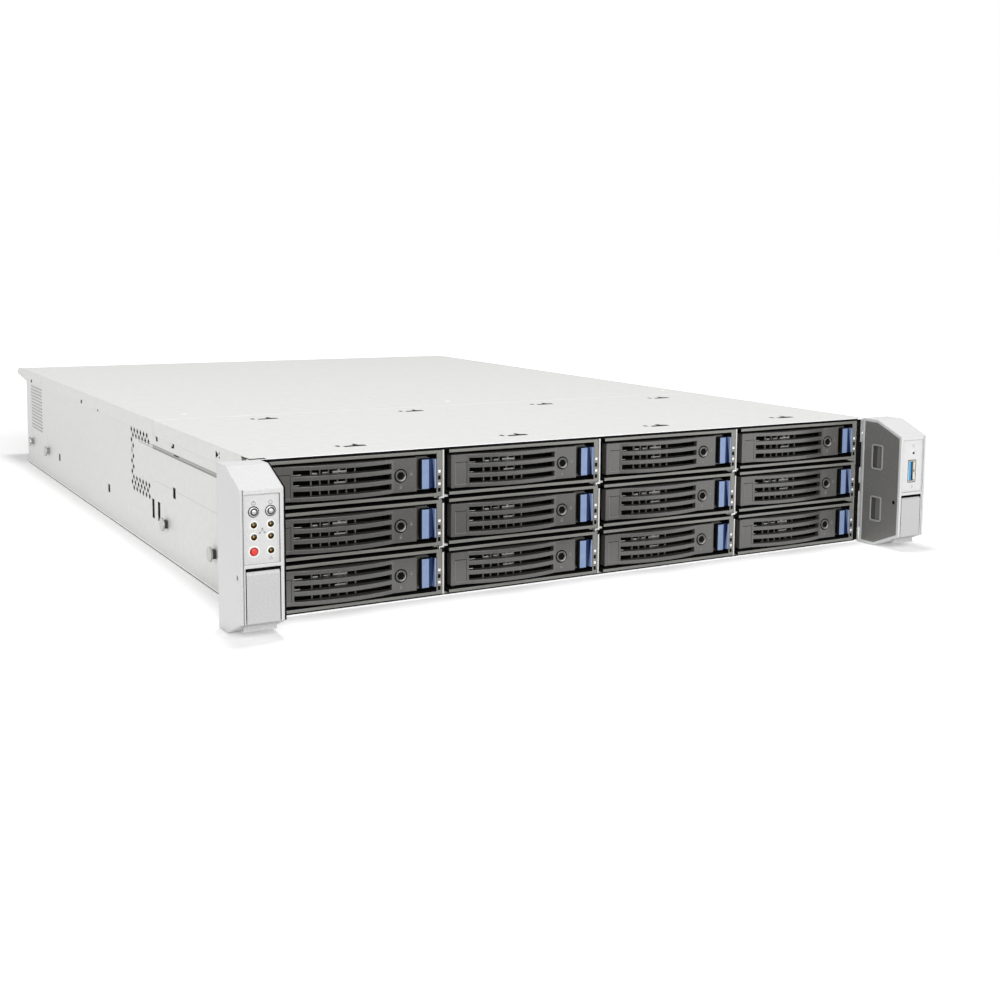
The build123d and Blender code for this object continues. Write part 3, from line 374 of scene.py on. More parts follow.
def copy_out(tree, points, master, material):
    """Set a master on every point, realize the copies, give them the material and hand them out."""
    spread = add(tree, "GeometryNodeInstanceOnPoints", links={"Points": points, "Instance": master})
    real = add(tree, "GeometryNodeRealizeInstances", links={"Geometry": spread.outputs["Instances"]})
    done = add(
        tree, "GeometryNodeSetMaterial", links={"Geometry": real.outputs["Geometry"], "Material": material},
    )
    add(tree, "NodeGroupOutput", links={"Geometry": done.outputs["Geometry"]})


def repeat_tree():
    """Node tree: a bar of a given size, repeated in a row from a start point, in one material."""
    tree, given = new_tree("bars in a row", {
        "Geometry": "Geometry", "Count": "Int", "Start": "Vector", "Step": "Vector", "Size": "Vector",
        "Material": "Material",
    })
    line = add(
        tree, "GeometryNodeMeshLine",
        links={"Count": given["Count"], "Start Location": given["Start"], "Offset": given["Step"]},
    )
    bar = add(tree, "GeometryNodeMeshCube", links={"Size": given["Size"]})
    copy_out(tree, line.outputs["Mesh"], bar.outputs["Mesh"], given["Material"])
    return tree


def points_tree():
    """Node tree: one master piece set on every point of the mesh, in one material."""
    tree, given = new_tree(
        "pieces on points", {"Geometry": "Geometry", "Piece": "Object", "Material": "Material"},
    )
    master = add(tree, "GeometryNodeObjectInfo", links={"Object": given["Piece"]})
    copy_out(tree, given["Geometry"], master.outputs["Geometry"], given["Material"])
    return tree


bars_in_a_row = repeat_tree()
pieces_on_points = points_tree()
masters = []


def grown(name, tree, points, inputs, body):
    """Run a node tree on some points, keep the result as a plain mesh and let it ride on a body."""
    mesh = bpy.data.meshes.new(name)
    mesh.from_pydata([Vector(point) * MM for point in points], [], [])
    thing = linked(name, mesh)
    grow = thing.modifiers.new("grow", "NODES")
    grow.node_group = tree
    for item in tree.interface.items_tree:
        if item.in_out == "INPUT" and item.name in inputs:
            grow[item.identifier] = inputs[item.name]
    bpy.context.view_layer.update()
    ready = thing.evaluated_get(bpy.context.evaluated_depsgraph_get())
    result = bpy.data.meshes.new_from_object(ready)
    thing.modifiers.remove(grow)
    thing.data = result
    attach(thing, body)


def bars(name, count, start, step, size, material, body):
    """A row of equal bars, all measures in millimetres."""
    inputs = {
        "Count": count, "Start": Vector(start) * MM, "Step": Vector(step) * MM,
        "Size": Vector(size) * MM, "Material": material,
    }
    grown(name, bars_in_a_row, [(0, 0, 0)], inputs, body)


def on_points(name, master, points, material, body):
    """Copies of a master piece on points in millimetres."""
    inputs = {"Piece": master, "Material": material}
    grown(name, pieces_on_points, points, inputs, body)


def master_piece(name, build):
    """A loose piece at the origin that a node tree copies."""
    bm = bmesh.new()
    build(bm)
    masters.append(finished(name, bm))
    return masters[-1]


# Finishes of the CAD nodes

def dress(node, base, *patches):
    """Give a CAD node its base material, then others, in order, on the faces that fit a test."""
    mesh = nodes[node].data
    mesh.materials.clear()
    mesh.materials.append(base)
    for polygon in mesh.polygons:
        polygon.material_index = 0
    for material, wanted in patches:
        index = mesh.materials.find(material.name)
        if index < 0:
            mesh.materials.append(material)
            index = len(mesh.materials) - 1
        for polygon in mesh.polygons:
            if wanted(polygon.center / MM, polygon.normal):
                polygon.material_index = index


def on_usb_tongue(spot, normal):
    """True on the front and the free side of the tongue in the USB socket."""
    left = SOCKET_X - 3.3 + 0.5
    inside = left < spot.x < left + 1.9 and abs(spot.z - SOCKET_Z) < 6.5
    return inside and (normal.x > 0.9 or normal.y < -0.9) and spot.y > PANEL_FACE + 0.4


def in_panel_step(spot, normal):
    """True on the narrow walls round the inset panel of an ear and in the groove along its outer edge."""
    return EAR_FACE + 0.05 < spot.y < PANEL_FACE - 0.05 and abs(normal.y) < 0.3


def on_shank(spot, normal):
    """True on the shank of a rail stud, between its head and the wall."""
    return abs(normal.x) < 0.5 and abs(spot.x) < WALL_FACE + 2.6


dress("rear_cover", zinc)
dress("rear_panel", zinc)
# The front edge of the front cover is a white painted highlight.
dress("front_cover", zinc, (white_painted_highlight, lambda spot, normal: normal.y < -0.9))
# The front edges of the two outer dividers are painted black as shade.
dress(
    "drive_cage", zinc, (divider_edge_painted_shade, lambda spot, normal: normal.y < -0.9),
    (gap_black, lambda spot, normal: normal.y < -0.9 and abs(spot.x) > cage_high.x - 1.1),
)
# The bottom front edge of the tray is a white painted highlight; the front faces beside the drives are
# painted black as shade.
dress(
    "chassis_tray", zinc, (white_painted_highlight, lambda spot, normal: normal.y < -0.9 and spot.z < 1.2),
    (gap_black, lambda spot, normal: cage_high.x < abs(spot.x) < WALL_FACE - 1.1 and spot.y < FRONT + 2),
)
dress(
    "ear_left", lacquer, (lacquer_shade, in_panel_step),
    (lacquer_deep, lambda spot, normal: in_panel_step(spot, normal) and normal.x < -0.5),
)
dress(
    "ear_right", lacquer,
    (lacquer_shade, lambda spot, normal: in_panel_step(spot, normal) and not normal.x < -0.5),
)
for node in ("ear_flap_left", "ear_flap_right"):
    flap_low, flap_high = span(node)
    # The top of the barrel lies in the gap under the panel and is painted black as shade; the pin ends are
    # painted black as the shade of their holes.
    dress(
        node, flap_finish, (gap_black, lambda spot, normal: normal.z > 0.6 and spot.z > flap_high.z - 2.3),
        (gap_black, lambda spot, normal: (
            abs(normal.x) > 0.9 and not flap_low.x + 0.7 < spot.x < flap_high.x - 0.7
        )),
    )
dress("ear_side_plates", plate_finish)
dress("power_button", aluminium)
dress("id_button", aluminium)
dress("reset_button", red)
dress("status_lamps", amber, (board_green, lambda spot, normal: spot.y > PANEL_FACE + 1))
usb_back = span("usb_port")[1].y
dress(
    "usb_port", socket_tin, (board_green, lambda spot, normal: spot.y > usb_back - 1.7),
    (amber, lambda spot, normal: spot.y < PANEL_FACE - 0.01), (usb_blue, on_usb_tongue),
)
# The shanks lie in the shade of the stud heads, those of the two front studs deepest.
dress(
    "rail_studs", stud_zinc, (seam_grey, on_shank),
    (dark_painted_shade, lambda spot, normal: on_shank(spot, normal) and spot.y < FRONT + 250),
)
dress("backplane", board_green, (black_nylon, lambda spot, normal: spot.y < cage_high.y - 0.1))
dress(
    "motherboard", board_green, (black_nylon, lambda spot, normal: spot.z > 9.0),
    (drive_cast, lambda spot, normal: spot.z > 13.9 and spot.y < FRONT + 490),
    (nickel, lambda spot, normal: spot.z > 8.9 and spot.y > FRONT + 600),
)
fan_front = span("fan_wall")[0].y
dress("fan_wall", black_nylon, (zinc, lambda spot, normal: spot.y < fan_front + 1.1))
for index in (1, 2, 3):
    dress(f"fan_rotor_{index}", black_nylon)
for index in (1, 2):
    dress(f"power_supply_{index}", supply_sheet, (black_nylon, lambda spot, normal: spot.y > FRONT + 651.5))
for bay in BAYS:
    # Inside the carrier and on the back faces of the lever, the near-black nylon is painted shade.
    dress(
        f"carrier_{bay}", carrier_nylon, (drive_cast, lambda spot, normal: spot.y > DRIVE_FRONT),
        (light_pipe, lambda spot, normal: spot.y < FRONT - 0.01),
        (inner_nylon_painted_shade, lambda spot, normal: FRONT + 0.1 < spot.y < DRIVE_FRONT),
    )
    dress(f"lever_{bay}", lever_nylon, (inner_nylon_painted_shade, lambda spot, normal: normal.y > 0.5))
    latch_low, latch_high = span(f"latch_{bay}")
    # On the latch, the slope and floor of the thumb groove are painted in shade.
    dress(
        f"latch_{bay}", blue, (blue_painted_shade_slope, lambda spot, normal: normal.x > 0.2 and normal.y < -0.2),
        (blue_painted_shade_groove, lambda spot, normal: (
            spot.x > latch_high.x - 2.6 and FRONT + 0.9 < spot.y < FRONT + 2.0
        )),
        # Top, bottom and left flank of the latch, painted black as shade.
        (gap_black, lambda spot, normal: (
            abs(normal.z) > 0.5 or normal.x < -0.5 and spot.x < latch_low.x + 3
        )),
    )


# Trim on every drive carrier

def bay_middle(bay):
    """Middle of a bay across and up, in millimetres."""
    low, high = span(f"carrier_{bay}")
    return (low.x + high.x) / 2, (low.z + high.z) / 2


# Fine line round the writing field from the middle of the bay, painted black as shade at its top and right
# side, where the field is sunk.
FIELD = (
    (-45.6, -37.9, -0.12, 0, -8.1, -7.8, 2), (-45.6, -45.3, -0.12, 0, -7.8, 5.0, 2),
    (-45.6, -37.9, -0.04, 0, 5.0, 5.3, 1), (-38.2, -37.9, -0.04, 0, -7.8, 5.0, 1),
)
# A padlock mark from its middle, the body first and then the bow.
PADLOCK = (
    (-0.7, 0.7, -0.1, 0, -0.8, 0.3, 2), (-0.55, -0.3, -0.1, 0, 0.3, 1.1, 2),
    (0.3, 0.55, -0.1, 0, 0.3, 1.1, 2), (-0.55, 0.55, -0.1, 0, 1.1, 1.35, 2),
)


def lever_trim(bay):
    """Lock with its countersink, writing field and padlock marks on the flat ends of a lever."""
    x, z = bay_middle(bay)
    face = LEVER_FACE
    lock_x = x + 27.35
    spot = (lock_x, face, z)
    bm = bmesh.new()
    # Groove in painted shade, raised collar, black key hole and a painted highlight on the lower right edge
    # of the collar.
    add_turned(bm, [(4.0, -0.2), (4.0, 0.06), (3.25, 0.06), (3.25, -0.2)], spot, "-Y", 32, 1, True)
    add_turned(bm, [(3.25, -0.2), (3.25, 0.5), (3.1, 0.65), (2.65, 0.65), (2.3, 0.1)], spot, "-Y", 32, 0)
    add_turned(bm, [(2.3, 0.1), (2.3, 0.04), (0, 0.04)], spot, "-Y", 6, 1)
    highlight_arc = []
    for step in range(10):
        angle = math.radians(-112 + 13 * step)
        half = 0.42 * math.sin(math.pi * (step + 0.5) / 10)
        pair = []
        for reach in (2.78 - half, 2.78 + half):
            corner = Vector((lock_x + reach * math.cos(angle), face - 0.7, z + reach * math.sin(angle)))
            pair.append(bm.verts.new(corner * MM))
        highlight_arc.append(pair)
    for first, second in zip(highlight_arc, highlight_arc[1:]):
        bm.faces.new((first[0], first[1], second[1], second[0])).material_index = 3
    add_boxes(bm, (x, face, z), FIELD)
    add_boxes(bm, (lock_x + 6.6, face, z + 0.6), PADLOCK)
    add_boxes(bm, (lock_x, face, z - 6.6), PADLOCK)
    materials = [lever_nylon, gap_black, mark_grey, nylon_painted_highlight]
    piece(f"lever_trim_{bay}", bm, materials, f"lever_{bay}")


# Edges of the drive's bracket behind the slots, white as painted glints: from the slot's left end, to, low,
# high.
GLINTS = (
    (0.6, 6.2, 3.5, 4.2), (0.6, 1.4, 4.2, 5.6), (12.6, 15.4, 4.0, 4.7), (18.6, 21.6, 4.2, 4.8),
    (24.4, 32.6, 4.1, 5.0), (27.4, 28.8, 5.0, 5.8), (0.6, 5.0, -2.2, -1.6), (25.4, 32.0, -1.9, -1.2),
)


def carrier_trim(bay):
    """Ribs across the air window and bracket edges on the drive behind it, both lighter as painted light,
    and dark windows in the post.
    """
    x, z = bay_middle(bay)
    # The ribs lie in shade and are drawn in the lighter nylon as painted highlight.
    bars(
        f"window_ribs_{bay}", 6, (x - 24.6, FRONT + 6.0, z - 1.6), (5.2, 0, 0), (0.65, 1.2, 16.0),
        nylon_painted_highlight, f"carrier_{bay}",
    )
    bm = bmesh.new()
    slot_left = x - 36.6
    for near, far, low, high in GLINTS:
        add_box(bm, slot_left + near, slot_left + far, FRONT + 5.0, FRONT + 5.4, z + low, z + high, 0)
    for drop in (2.6, 9.7):
        add_boxes(bm, (x + 50.35, FRONT, z - drop), (
            (0, 1.8, -0.05, 0.3, -1.2, 1.2, 1), (-0.2, 0, -0.08, 0.3, -1.3, 1.3, 2),
        ))
    materials = [drive_glint, gap_black, mark_grey]
    piece(f"carrier_marks_{bay}", bm, materials, f"carrier_{bay}")


for bay in BAYS:
    lever_trim(bay)
    carrier_trim(bay)


# Front of the cage

def cage_front():
    """Lanced hooks and notches on the dividers, black lines of painted shade in the gaps above and below the
    drives, and the slots in both brackets.
    """
    bm = bmesh.new()
    pitch = 2 * cage_high.x / COLUMNS - 1.0 / COLUMNS
    borders = []
    for row in range(1, ROWS):
        lower = span(f"carrier_1_{row}")[1].z
        upper = span(f"carrier_1_{row + 1}")[0].z
        borders.append((lower + upper) / 2)
    for column in range(1, COLUMNS):
        x = -cage_high.x + 0.5 + column * pitch
        for z in borders:
            add_boxes(bm, (x, FRONT, z), (
                (-2.6, 0.5, -0.04, 2.6, -0.2, 0.7, 0), (-2.6, -1.9, -0.04, 2.6, -1.0, -0.2, 0),
                (-0.54, 0.54, -0.04, 0.4, -3.2, -0.3, 1),
            ))
    carrier_low = span("carrier_1_1")[0].z
    carrier_high = span(f"carrier_1_{ROWS}")[1].z
    edge = cage_high.x
    # Black lines of painted shade in the gaps above and below the drives.
    add_box(bm, -edge, edge, FRONT - 0.05, FRONT + 0.4, carrier_high + 0.15, TOP - 0.4, 1)
    add_box(bm, -edge, edge, FRONT - 0.05, FRONT + 0.4, carrier_low - 0.7, carrier_low - 0.1, 1)
    for side in (-1, 1):
        for low, high in ((36.0, 42.0), (53.0, 71.0)):
            near = side * (WALL_FACE - 1.25)
            far = side * (WALL_FACE + 0.05)
            add_box(bm, near, far, FRONT - 0.05, FRONT + 0.5, low, high, 1)
    piece("cage_front", bm, [zinc_edge, gap_black], "chassis")


cage_front()


# Ears: buttons, lamp rings and marks

def button_cap(node, name, material):
    """Round cap with a shoulder, in place of the plain one of the node."""
    low, high = span(node)
    x = (low.x + high.x) / 2
    z = (low.z + high.z) / 2
    radius = (high.x - low.x) / 2 - 0.9
    depth = high.y - low.y
    if name == "reset_cap":
        slim = radius * 0.86
        crown = [
            (slim * 0.4, -0.04), (slim * 0.66, -0.16), (slim * 0.86, -0.42), (slim, -0.9), (slim, -1.6),
            (radius, -1.6),
        ]
        # The rounded shoulder of the red cap turns away from the light.
        shade, near, far, slot = red_shade, 0.56, math.inf, "red_cap"
    else:
        crown = [
            (radius * 0.48, -0.02), (radius * 0.56, -0.3), (radius * 0.72, -0.3), (radius * 0.84, -0.05),
            (radius, -0.4), (radius, -2.1),
        ]
        # The turned groove of a silver cap is painted dark as shade.
        shade, near, far, slot = dark_painted_shade, 0.5, 0.8, "silver_cap"
    base = [(radius + 0.8, -2.1), (radius + 0.8, -depth), (0, -depth)]
    bm = bmesh.new()
    add_turned(bm, [(0, 0.0), *crown, *base], (x, low.y, z), "-Y", 36)
    for face in bm.faces:
        reach = (face.calc_center_median() - Vector((x, low.y, z)) * MM).length / MM
        face.material_index = 1 if near * radius < reach < far * radius else 0
    cap = piece(name, bm, [material, shade], node)
    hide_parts(node)
    return x, z, radius


def ear_rings():
    """White rings round the silver buttons and the lamps, and a dark groove round the red button."""
    bm = bmesh.new()
    for x, z, radius in button_places:
        spot = (x, PANEL_FACE, z)
        if radius > 2.5:
            inner = 0.88 * radius
            outer = radius + 0.5
            ring = [(inner, -0.3), (inner, 0.1), (inner + 0.3, 0.2), (outer, 0.1), (outer, -0.3)]
            add_turned(bm, ring, spot, "-Y", 36, 0, True)
        else:
            inner = radius + 0.08
            groove = [(inner, -0.4), (inner, 0.05), (inner + 0.42, 0.05), (inner + 0.42, -0.4)]
            add_turned(bm, groove, spot, "-Y", 36, 2, True)
    bezel = [(1.68, -0.2), (1.68, 0.38), (1.85, 0.46), (2.3, 0.16), (2.36, -0.2)]
    lens = [(1.6, 0.3), (1.25, 0.55), (0.6, 0.7), (0, 0.74)]
    # A small golden cap up and to the left of each lens middle: a painted highlight.
    glow = [(0.5, 0.6), (0.4, 0.78), (0, 0.8)]
    for x, z in lamp_places:
        add_turned(bm, bezel, (x, PANEL_FACE, z), "-Y", 36, 0, True)
        add_turned(bm, lens, (x, PANEL_FACE, z), "-Y", 28, 1)
        add_turned(bm, glow, (x - 0.3, PANEL_FACE, z + 0.2), "-Y", 16, 3)
    piece("panel_rings", bm, [white_abs, amber, gap_black, amber_lens_and_painted_highlight], "chassis")


button_places = [
    button_cap("power_button", "power_cap", aluminium),
    button_cap("id_button", "id_cap", aluminium),
    button_cap("reset_button", "reset_cap", red),
]
outer_x = -EAR_OUTER + 7.5
inner_x = -EAR_OUTER + 16.4
lamp_places = [(x, PANEL_HIGH - drop) for drop in (15.8, 22.0) for x in (outer_x, inner_x)]
lamp_places.append((inner_x, PANEL_HIGH - 29.5))
ear_rings()


def panel_marks():
    """Screen-printed symbols beside the controls: rings with a bar, linked boxes, a warning triangle."""
    bm = bmesh.new()
    face = PANEL_FACE
    ring = [(1.05, 0.0), (1.05, 0.05), (0.8, 0.05), (0.8, 0.0)]
    for x in (outer_x, inner_x):
        add_turned(bm, ring, (x, face, PANEL_HIGH - 4.6), "-Y", 24, 0, True)
    add_boxes(bm, (outer_x, face, PANEL_HIGH), [(-0.12, 0.12, -0.05, 0, -4.3, -3.2, 0)])
    # Three linked boxes and the lines between them.
    add_boxes(bm, ((outer_x + inner_x) / 2, face, PANEL_HIGH), (
        (-0.5, 0.5, -0.05, 0, -18.4, -17.6, 0), (-1.7, -0.7, -0.05, 0, -20.4, -19.6, 0),
        (0.7, 1.7, -0.05, 0, -20.4, -19.6, 0), (-1.2, 1.2, -0.05, 0, -19.1, -18.9, 0),
        (-0.1, 0.1, -0.05, 0, -18.9, -18.4, 0),
    ))
    # Warning triangle: one bar, turned to each side.
    centre = Vector((inner_x, face, PANEL_HIGH - 33.6)) * MM
    for turn in range(3):
        swing = Matrix.Rotation(turn * 2 * math.pi / 3, 4, "Y")
        for vertex in add_box(bm, -0.85, 0.85, -0.05, 0, -0.6, -0.4):
            vertex.co = swing @ vertex.co + centre
    piece("panel_marks", bm, [print_grey], "chassis")


panel_marks()


def usb_trim():
    """Rims, insert and springs of the socket, printed marks and the lamp ring on the right panel."""
    bm = bmesh.new()
    x = EAR_OUTER - 10.5
    z = PANEL_HIGH - 9.0
    # Dark gap round the socket and the folded steel rim inside it.
    spot = (SOCKET_X, PANEL_FACE, SOCKET_Z)
    add_rim(bm, (7.6, 15.6), 0.9, 0.55, (-0.3, 0.05), spot, "-Y", 3)
    add_rim(bm, (6.5, 14.5), 0.6, 0.5, (-0.2, 0.1), spot, "-Y", 2)
    bezel = [(1.05, -0.1), (1.05, 0.3), (1.7, 0.12), (1.7, -0.1)]
    add_turned(bm, bezel, (x, PANEL_FACE, z), "-Y", 28, 0, True)
    ring = [(1.0, 0.0), (1.0, 0.05), (0.78, 0.05), (0.78, 0.0)]
    add_turned(bm, ring, (x, PANEL_FACE, z + 5.0), "-Y", 24, 1, True)
    # Blue insert, dark mouth, bronze strip and two white springs.
    add_boxes(bm, spot, (
        (-2.75, -0.3, 0.35, 6.0, -6.2, 6.2, 4), (-0.3, 1.4, 1.2, 1.5, -6.2, 6.2, 3),
        (1.4, 2.0, 0.8, 4.0, -6.2, 6.2, 5), (2.0, 2.7, 0.3, 4.0, -6.0, -0.8, 0),
        (2.0, 2.7, 0.3, 4.0, 0.8, 6.0, 0),
    ))
    # Printed cross mark under the socket.
    add_boxes(bm, (x, PANEL_FACE, PANEL_HIGH), (
        (-0.12, 0.12, -0.05, 0, -33.4, -31.2, 1), (-0.7, 0.7, -0.05, 0, -32.4, -32.2, 1),
    ))
    materials = [white_abs, print_grey, socket_tin, gap_black, usb_blue, contact_bronze]
    piece("usb_trim", bm, materials, "chassis")
    bars(
        "usb_contacts", 5, (SOCKET_X - 0.24, PANEL_FACE + 5.2, SOCKET_Z - 4.0), (0, 0, 2.0),
        (0.12, 6.0, 0.8), gold, "chassis",
    )


usb_trim()


def ear_gaps():
    """Black painted shade behind the gaps beside the flaps, and rims lit as painted highlight with painted
    shade inside the windows of the side plates.
    """
    bm = bmesh.new()
    plate_edge = span("ear_side_plates")[1].x
    flap_edge = WALL_FACE + 0.6
    flap_outer = EAR_OUTER - 3.1
    for side in (-1, 1):
        # Black boxes behind the gaps beside the flaps: painted shade.
        for near, far in ((WALL_FACE + 0.05, flap_edge - 0.04), (flap_outer + 0.04, flap_outer + 0.5)):
            add_box(bm, side * near, side * far, EAR_FACE + 0.15, EAR_FACE + 2.5, 12.0, 38.4, 0)
        inner = side * plate_edge - side * 1.7
        for middle in (26.25, 62.55):
            spot = (inner, FRONT - 17.8, middle)
            facing = "-X" if side > 0 else "+X"
            # Rims lighter as painted highlight, and a band of painted shade inside each window.
            add_rim(bm, (17.6, 10.7), 1.9, 1.0, (-0.3, 0.4), spot, facing, 1)
            add_box(
                bm, inner + side * 0.6, inner + side * 0.9, FRONT - 16.8, FRONT - 13.3,
                middle - 7.6, middle + 7.6, 2,
            )
    # Black strip of painted shade in the gap between the left ear and the drives, along the ear's outline.
    outer = [(-4.0, 88.2), (-17.4, 88.2), (-39.8, 78.9), (-39.8, 9.9), (-17.4, 0.6)]
    inner = [(-4.0, 84.2), (-17.0, 84.2), (-36.0, 76.4), (-36.0, 12.4), (-17.0, 4.6)]
    for index in range(len(outer) - 1):
        quad = (outer[index], outer[index + 1], inner[index + 1], inner[index])
        side_view = [(FRONT + y, z) for y, z in quad]
        add_prism(bm, side_view, 1.72 - WALL_FACE, 2.7 - WALL_FACE, "X")
    piece("ear_gaps", bm, [gap_black, plate_rim_painted_highlight, dark_painted_shade], "chassis")


ear_gaps()


# Sides and top of the case

def side_marks(side):
    """Screws, dimples, cuts and seams on one side of the case: side is -1 on the left and 1 on the right."""
    facing = "-X" if side < 0 else "+X"
    wall = side * WALL_FACE
    skirt = side * cover_high.x

    def patch(bm, plane, y, z, length, height, slot, proud=0.04):
        front = FRONT + y - length / 2
        back = FRONT + y + length / 2
        low = z - height / 2
        high = z + height / 2
        add_box(bm, plane - side * 0.3, plane + side * proud, front, back, low, high, slot)

    def dimple(bm, plane, y, z, radius):
        spot = (plane, FRONT + y, z)
        ring = [(radius, -0.2), (radius, 0.1), (radius - 0.3, 0.16), (radius - 0.6, 0.03)]
        add_turned(bm, ring, spot, facing, 20, 1)
        add_turned(bm, [(radius - 0.6, 0.03), (0, 0.03)], spot, facing, 20, 2)

    bm = bmesh.new()
    for y, z in ((202, 46.5), (273, 16.4), (262, 60.0), (231, 46.0)):
        dimple(bm, wall, y, z, 1.4)
    dimple(bm, skirt, 166, 81, 1.3)
    groove = wall - side * 0.6
    # Each mark: plane, place from the front, level, length, height, slot and how far it stands out.
    for mark in (
        # Hook and keyhole cuts under the skirt.
        (wall, 155.0, 76.4, 3.6, 3.4, 0), (wall, 158.0, 75.0, 2.4, 1.4, 0),
        (wall, 193.6, 76.2, 3.8, 3.4, 0), (wall, 196.2, 77.4, 1.8, 1.2, 0),
        # Arrow-shaped cut near the front.
        (skirt, 62.4, 83.0, 1.4, 3.8, 0), (skirt, 61.0, 83.0, 1.4, 2.6, 0), (skirt, 59.4, 83.0, 1.8, 1.3, 0),
        (skirt, 56.6, 84.2, 1.4, 1.0, 0), (skirt, 56.6, 81.8, 1.4, 1.0, 0),
        # Pressed groove: two lips in painted shade, its floor, a short slot in it, and its shallow run-out
        # to the vents, also in painted shade.
        (groove, 108.5, 71.05, 192.0, 0.5, 2, 0.5), (groove, 108.5, 68.75, 192.0, 0.5, 2, 0.5),
        (groove, 108.5, 69.9, 192.0, 1.8, 6, 0.1), (groove, 150.0, 70.4, 10.0, 0.9, 0, 0.3),
        (wall, 226.0, 70.7, 44.0, 0.4, 2, 0.02), (wall, 222.0, 69.0, 36.0, 0.4, 2, 0.02),
        # Fine seam lower down, the bottom edge in white painted highlight and the painted shade under it.
        (wall, 81.0, 47.6, 138.0, 0.25, 4, 0.02), (wall, 179.0, 47.6, 38.0, 0.25, 4, 0.02),
        (wall, 325.0, 1.3, 648.0, 1.1, 3, 0.03), (wall, 325.0, 0.4, 648.0, 0.6, 5, 0.03),
        # Slit between the two covers.
        (skirt - side * 0.1, cover_high.y - FRONT + 0.25, 83.0, 0.4, 9.6, 2, 0.02),
        # Corner of the front cover: a hooked cut with its floor in grey painted shade and the dark gap in
        # front of it.
        (skirt, 13.0, 85.9, 8.0, 2.6, 5), (skirt, 13.0, 87.4, 9.0, 0.6, 0), (skirt, 4.4, 87.6, 8.2, 0.5, 0),
    ):
        patch(bm, *mark)
    # Painted shade that closes the vents and slots just under the face of the wall: black, and grey behind
    # the fine vents near the rear.
    for y0, y1, z0, z1, slot in (
        (210, 264, 32, 80, 0), (574, 632, 34, 78, 5), (151, 159, 42, 50, 0), (184, 214, 20, 36, 0),
        (326, 334, 19, 27, 0), (503, 511, 19, 27, 0),
    ):
        add_box(bm, wall - side * 0.15, wall - side * 0.35, FRONT + y0, FRONT + y1, z0, z1, slot)
    name = "left" if side < 0 else "right"
    materials = [gap_black, zinc_edge, seam_grey, white_painted_highlight, faint_seam, vent_shade, groove_grey]
    piece(f"side_marks_{name}", bm, materials, "chassis")

    bm = bmesh.new()
    for y, z in ((409, 80.4), (616, 79.6)):
        spot = (skirt, FRONT + y, z)
        add_turned(bm, [(2.0, -0.1), (2.0, 0.1), (1.6, 0.15)], spot, facing, 24, 1)
        add_turned(bm, [(1.6, 0.15), (1.5, 0.5), (1.0, 0.7), (0, 0.75)], spot, facing, 24, 0)
    patch(bm, skirt, 355.0, 78.9, 3.0, 1.6, 0)
    patch(bm, skirt, 571.0, 82.0, 0.6, 7.0, 2, 0.02)
    piece(f"skirt_marks_{name}", bm, [black_nylon, zinc_edge, seam_grey], "rear_cover")

    points = []
    for row in range(14):
        for step in range(12):
            along = FRONT + 580.5 + 4.1 * step + 2.05 * (row % 2)
            points.append((wall - side * 0.55, along, 36.75 + 2.9 * row))
    on_points(f"vent_bridges_{name}", vent_bridge, points, zinc, "chassis")


# Shallow seam in the wall, hardly darker than the sheet.
faint_seam = plain("faint_seam", "#C2C2C0", 0.5)
# Floor of the pressed groove, in the shade of its lips.
groove_grey = plain("groove_floor", "#B4B4B2", 0.5)
# Grey shade behind the fine vents near the rear, along the foot of the walls and on the floor of the cut at
# the cover's corner.
vent_shade = plain("vent_shade", "#6E6E6C", 0.8)
vent_bridge = master_piece("vent_bridge", lambda bm: add_box(bm, -0.5, 0.5, -0.9, 0.9, -0.8, 0.8))
side_marks(-1)
side_marks(1)


def tab_cut(bm):
    """Black hooked cut beside a tab slot of the cover, with its small tick."""
    hook = [
        (-6.8, -4.0), (6.8, -4.0), (6.8, 0.4), (3.6, 1.4), (2.8, 6.2), (1.4, 6.2), (0.4, 1.0), (-6.8, -0.6),
    ]
    add_prism(bm, hook, -0.2, 0.04)
    add_prism(bm, [(-5.4, -0.9), (5.4, -0.9), (5.4, 0.9), (-5.4, 0.9)], -0.9, -0.4)
    add_prism(bm, [(-10.4, -1.4), (-8.4, -1.4), (-8.0, 3.4), (-10.8, 3.0)], -0.2, 0.04)


def cover_marks():
    """Hook cuts on the front cover; the folded seam and the pressed dots behind it in white as painted
    highlights; painted shade beside the ear.
    """
    tabs = []
    middles = [bay_middle(f"{column}_1")[0] + 10.0 for column in range(1, COLUMNS + 1)]
    for y in (28.0, 176.0):
        tabs += [(x, FRONT + y, TOP) for x in middles]
    on_points("tab_cuts", master_piece("tab_cut", tab_cut), tabs, gap_black, "chassis")
    bm = bmesh.new()
    edge = cover_high.x
    add_box(bm, -edge, edge, cover_high.y - 1.0, cover_high.y, TOP - 0.5, TOP + 0.03, 0)
    add_box(bm, -edge, edge, cover_high.y + 0.05, cover_high.y + 0.35, TOP - 1.0, TOP - 0.4, 1)
    # Painted shade in the gap between the front left corner of the cover and the ear.
    add_box(bm, -edge, 8.0 - edge, cover_low.y, cover_low.y + 3.5, TOP - 0.5, TOP + 0.03, 2)
    piece("cover_seam", bm, [white_painted_highlight, seam_grey, gap_black], "chassis")
    dots = [(x, FRONT + 224.5, TOP) for x in (-193.0, 7.5, 209.0)]
    pressed = master_piece("pressed_dot", lambda bm: add_turned(
        bm, [(2.4, -0.2), (2.2, 0.05), (1.7, 0.1), (0, 0.12)], (0, 0, 0), "+Z", 24,
    ))
    on_points("pressed_dots", pressed, dots, white_painted_highlight, "rear_cover")


cover_marks()


# Rear face

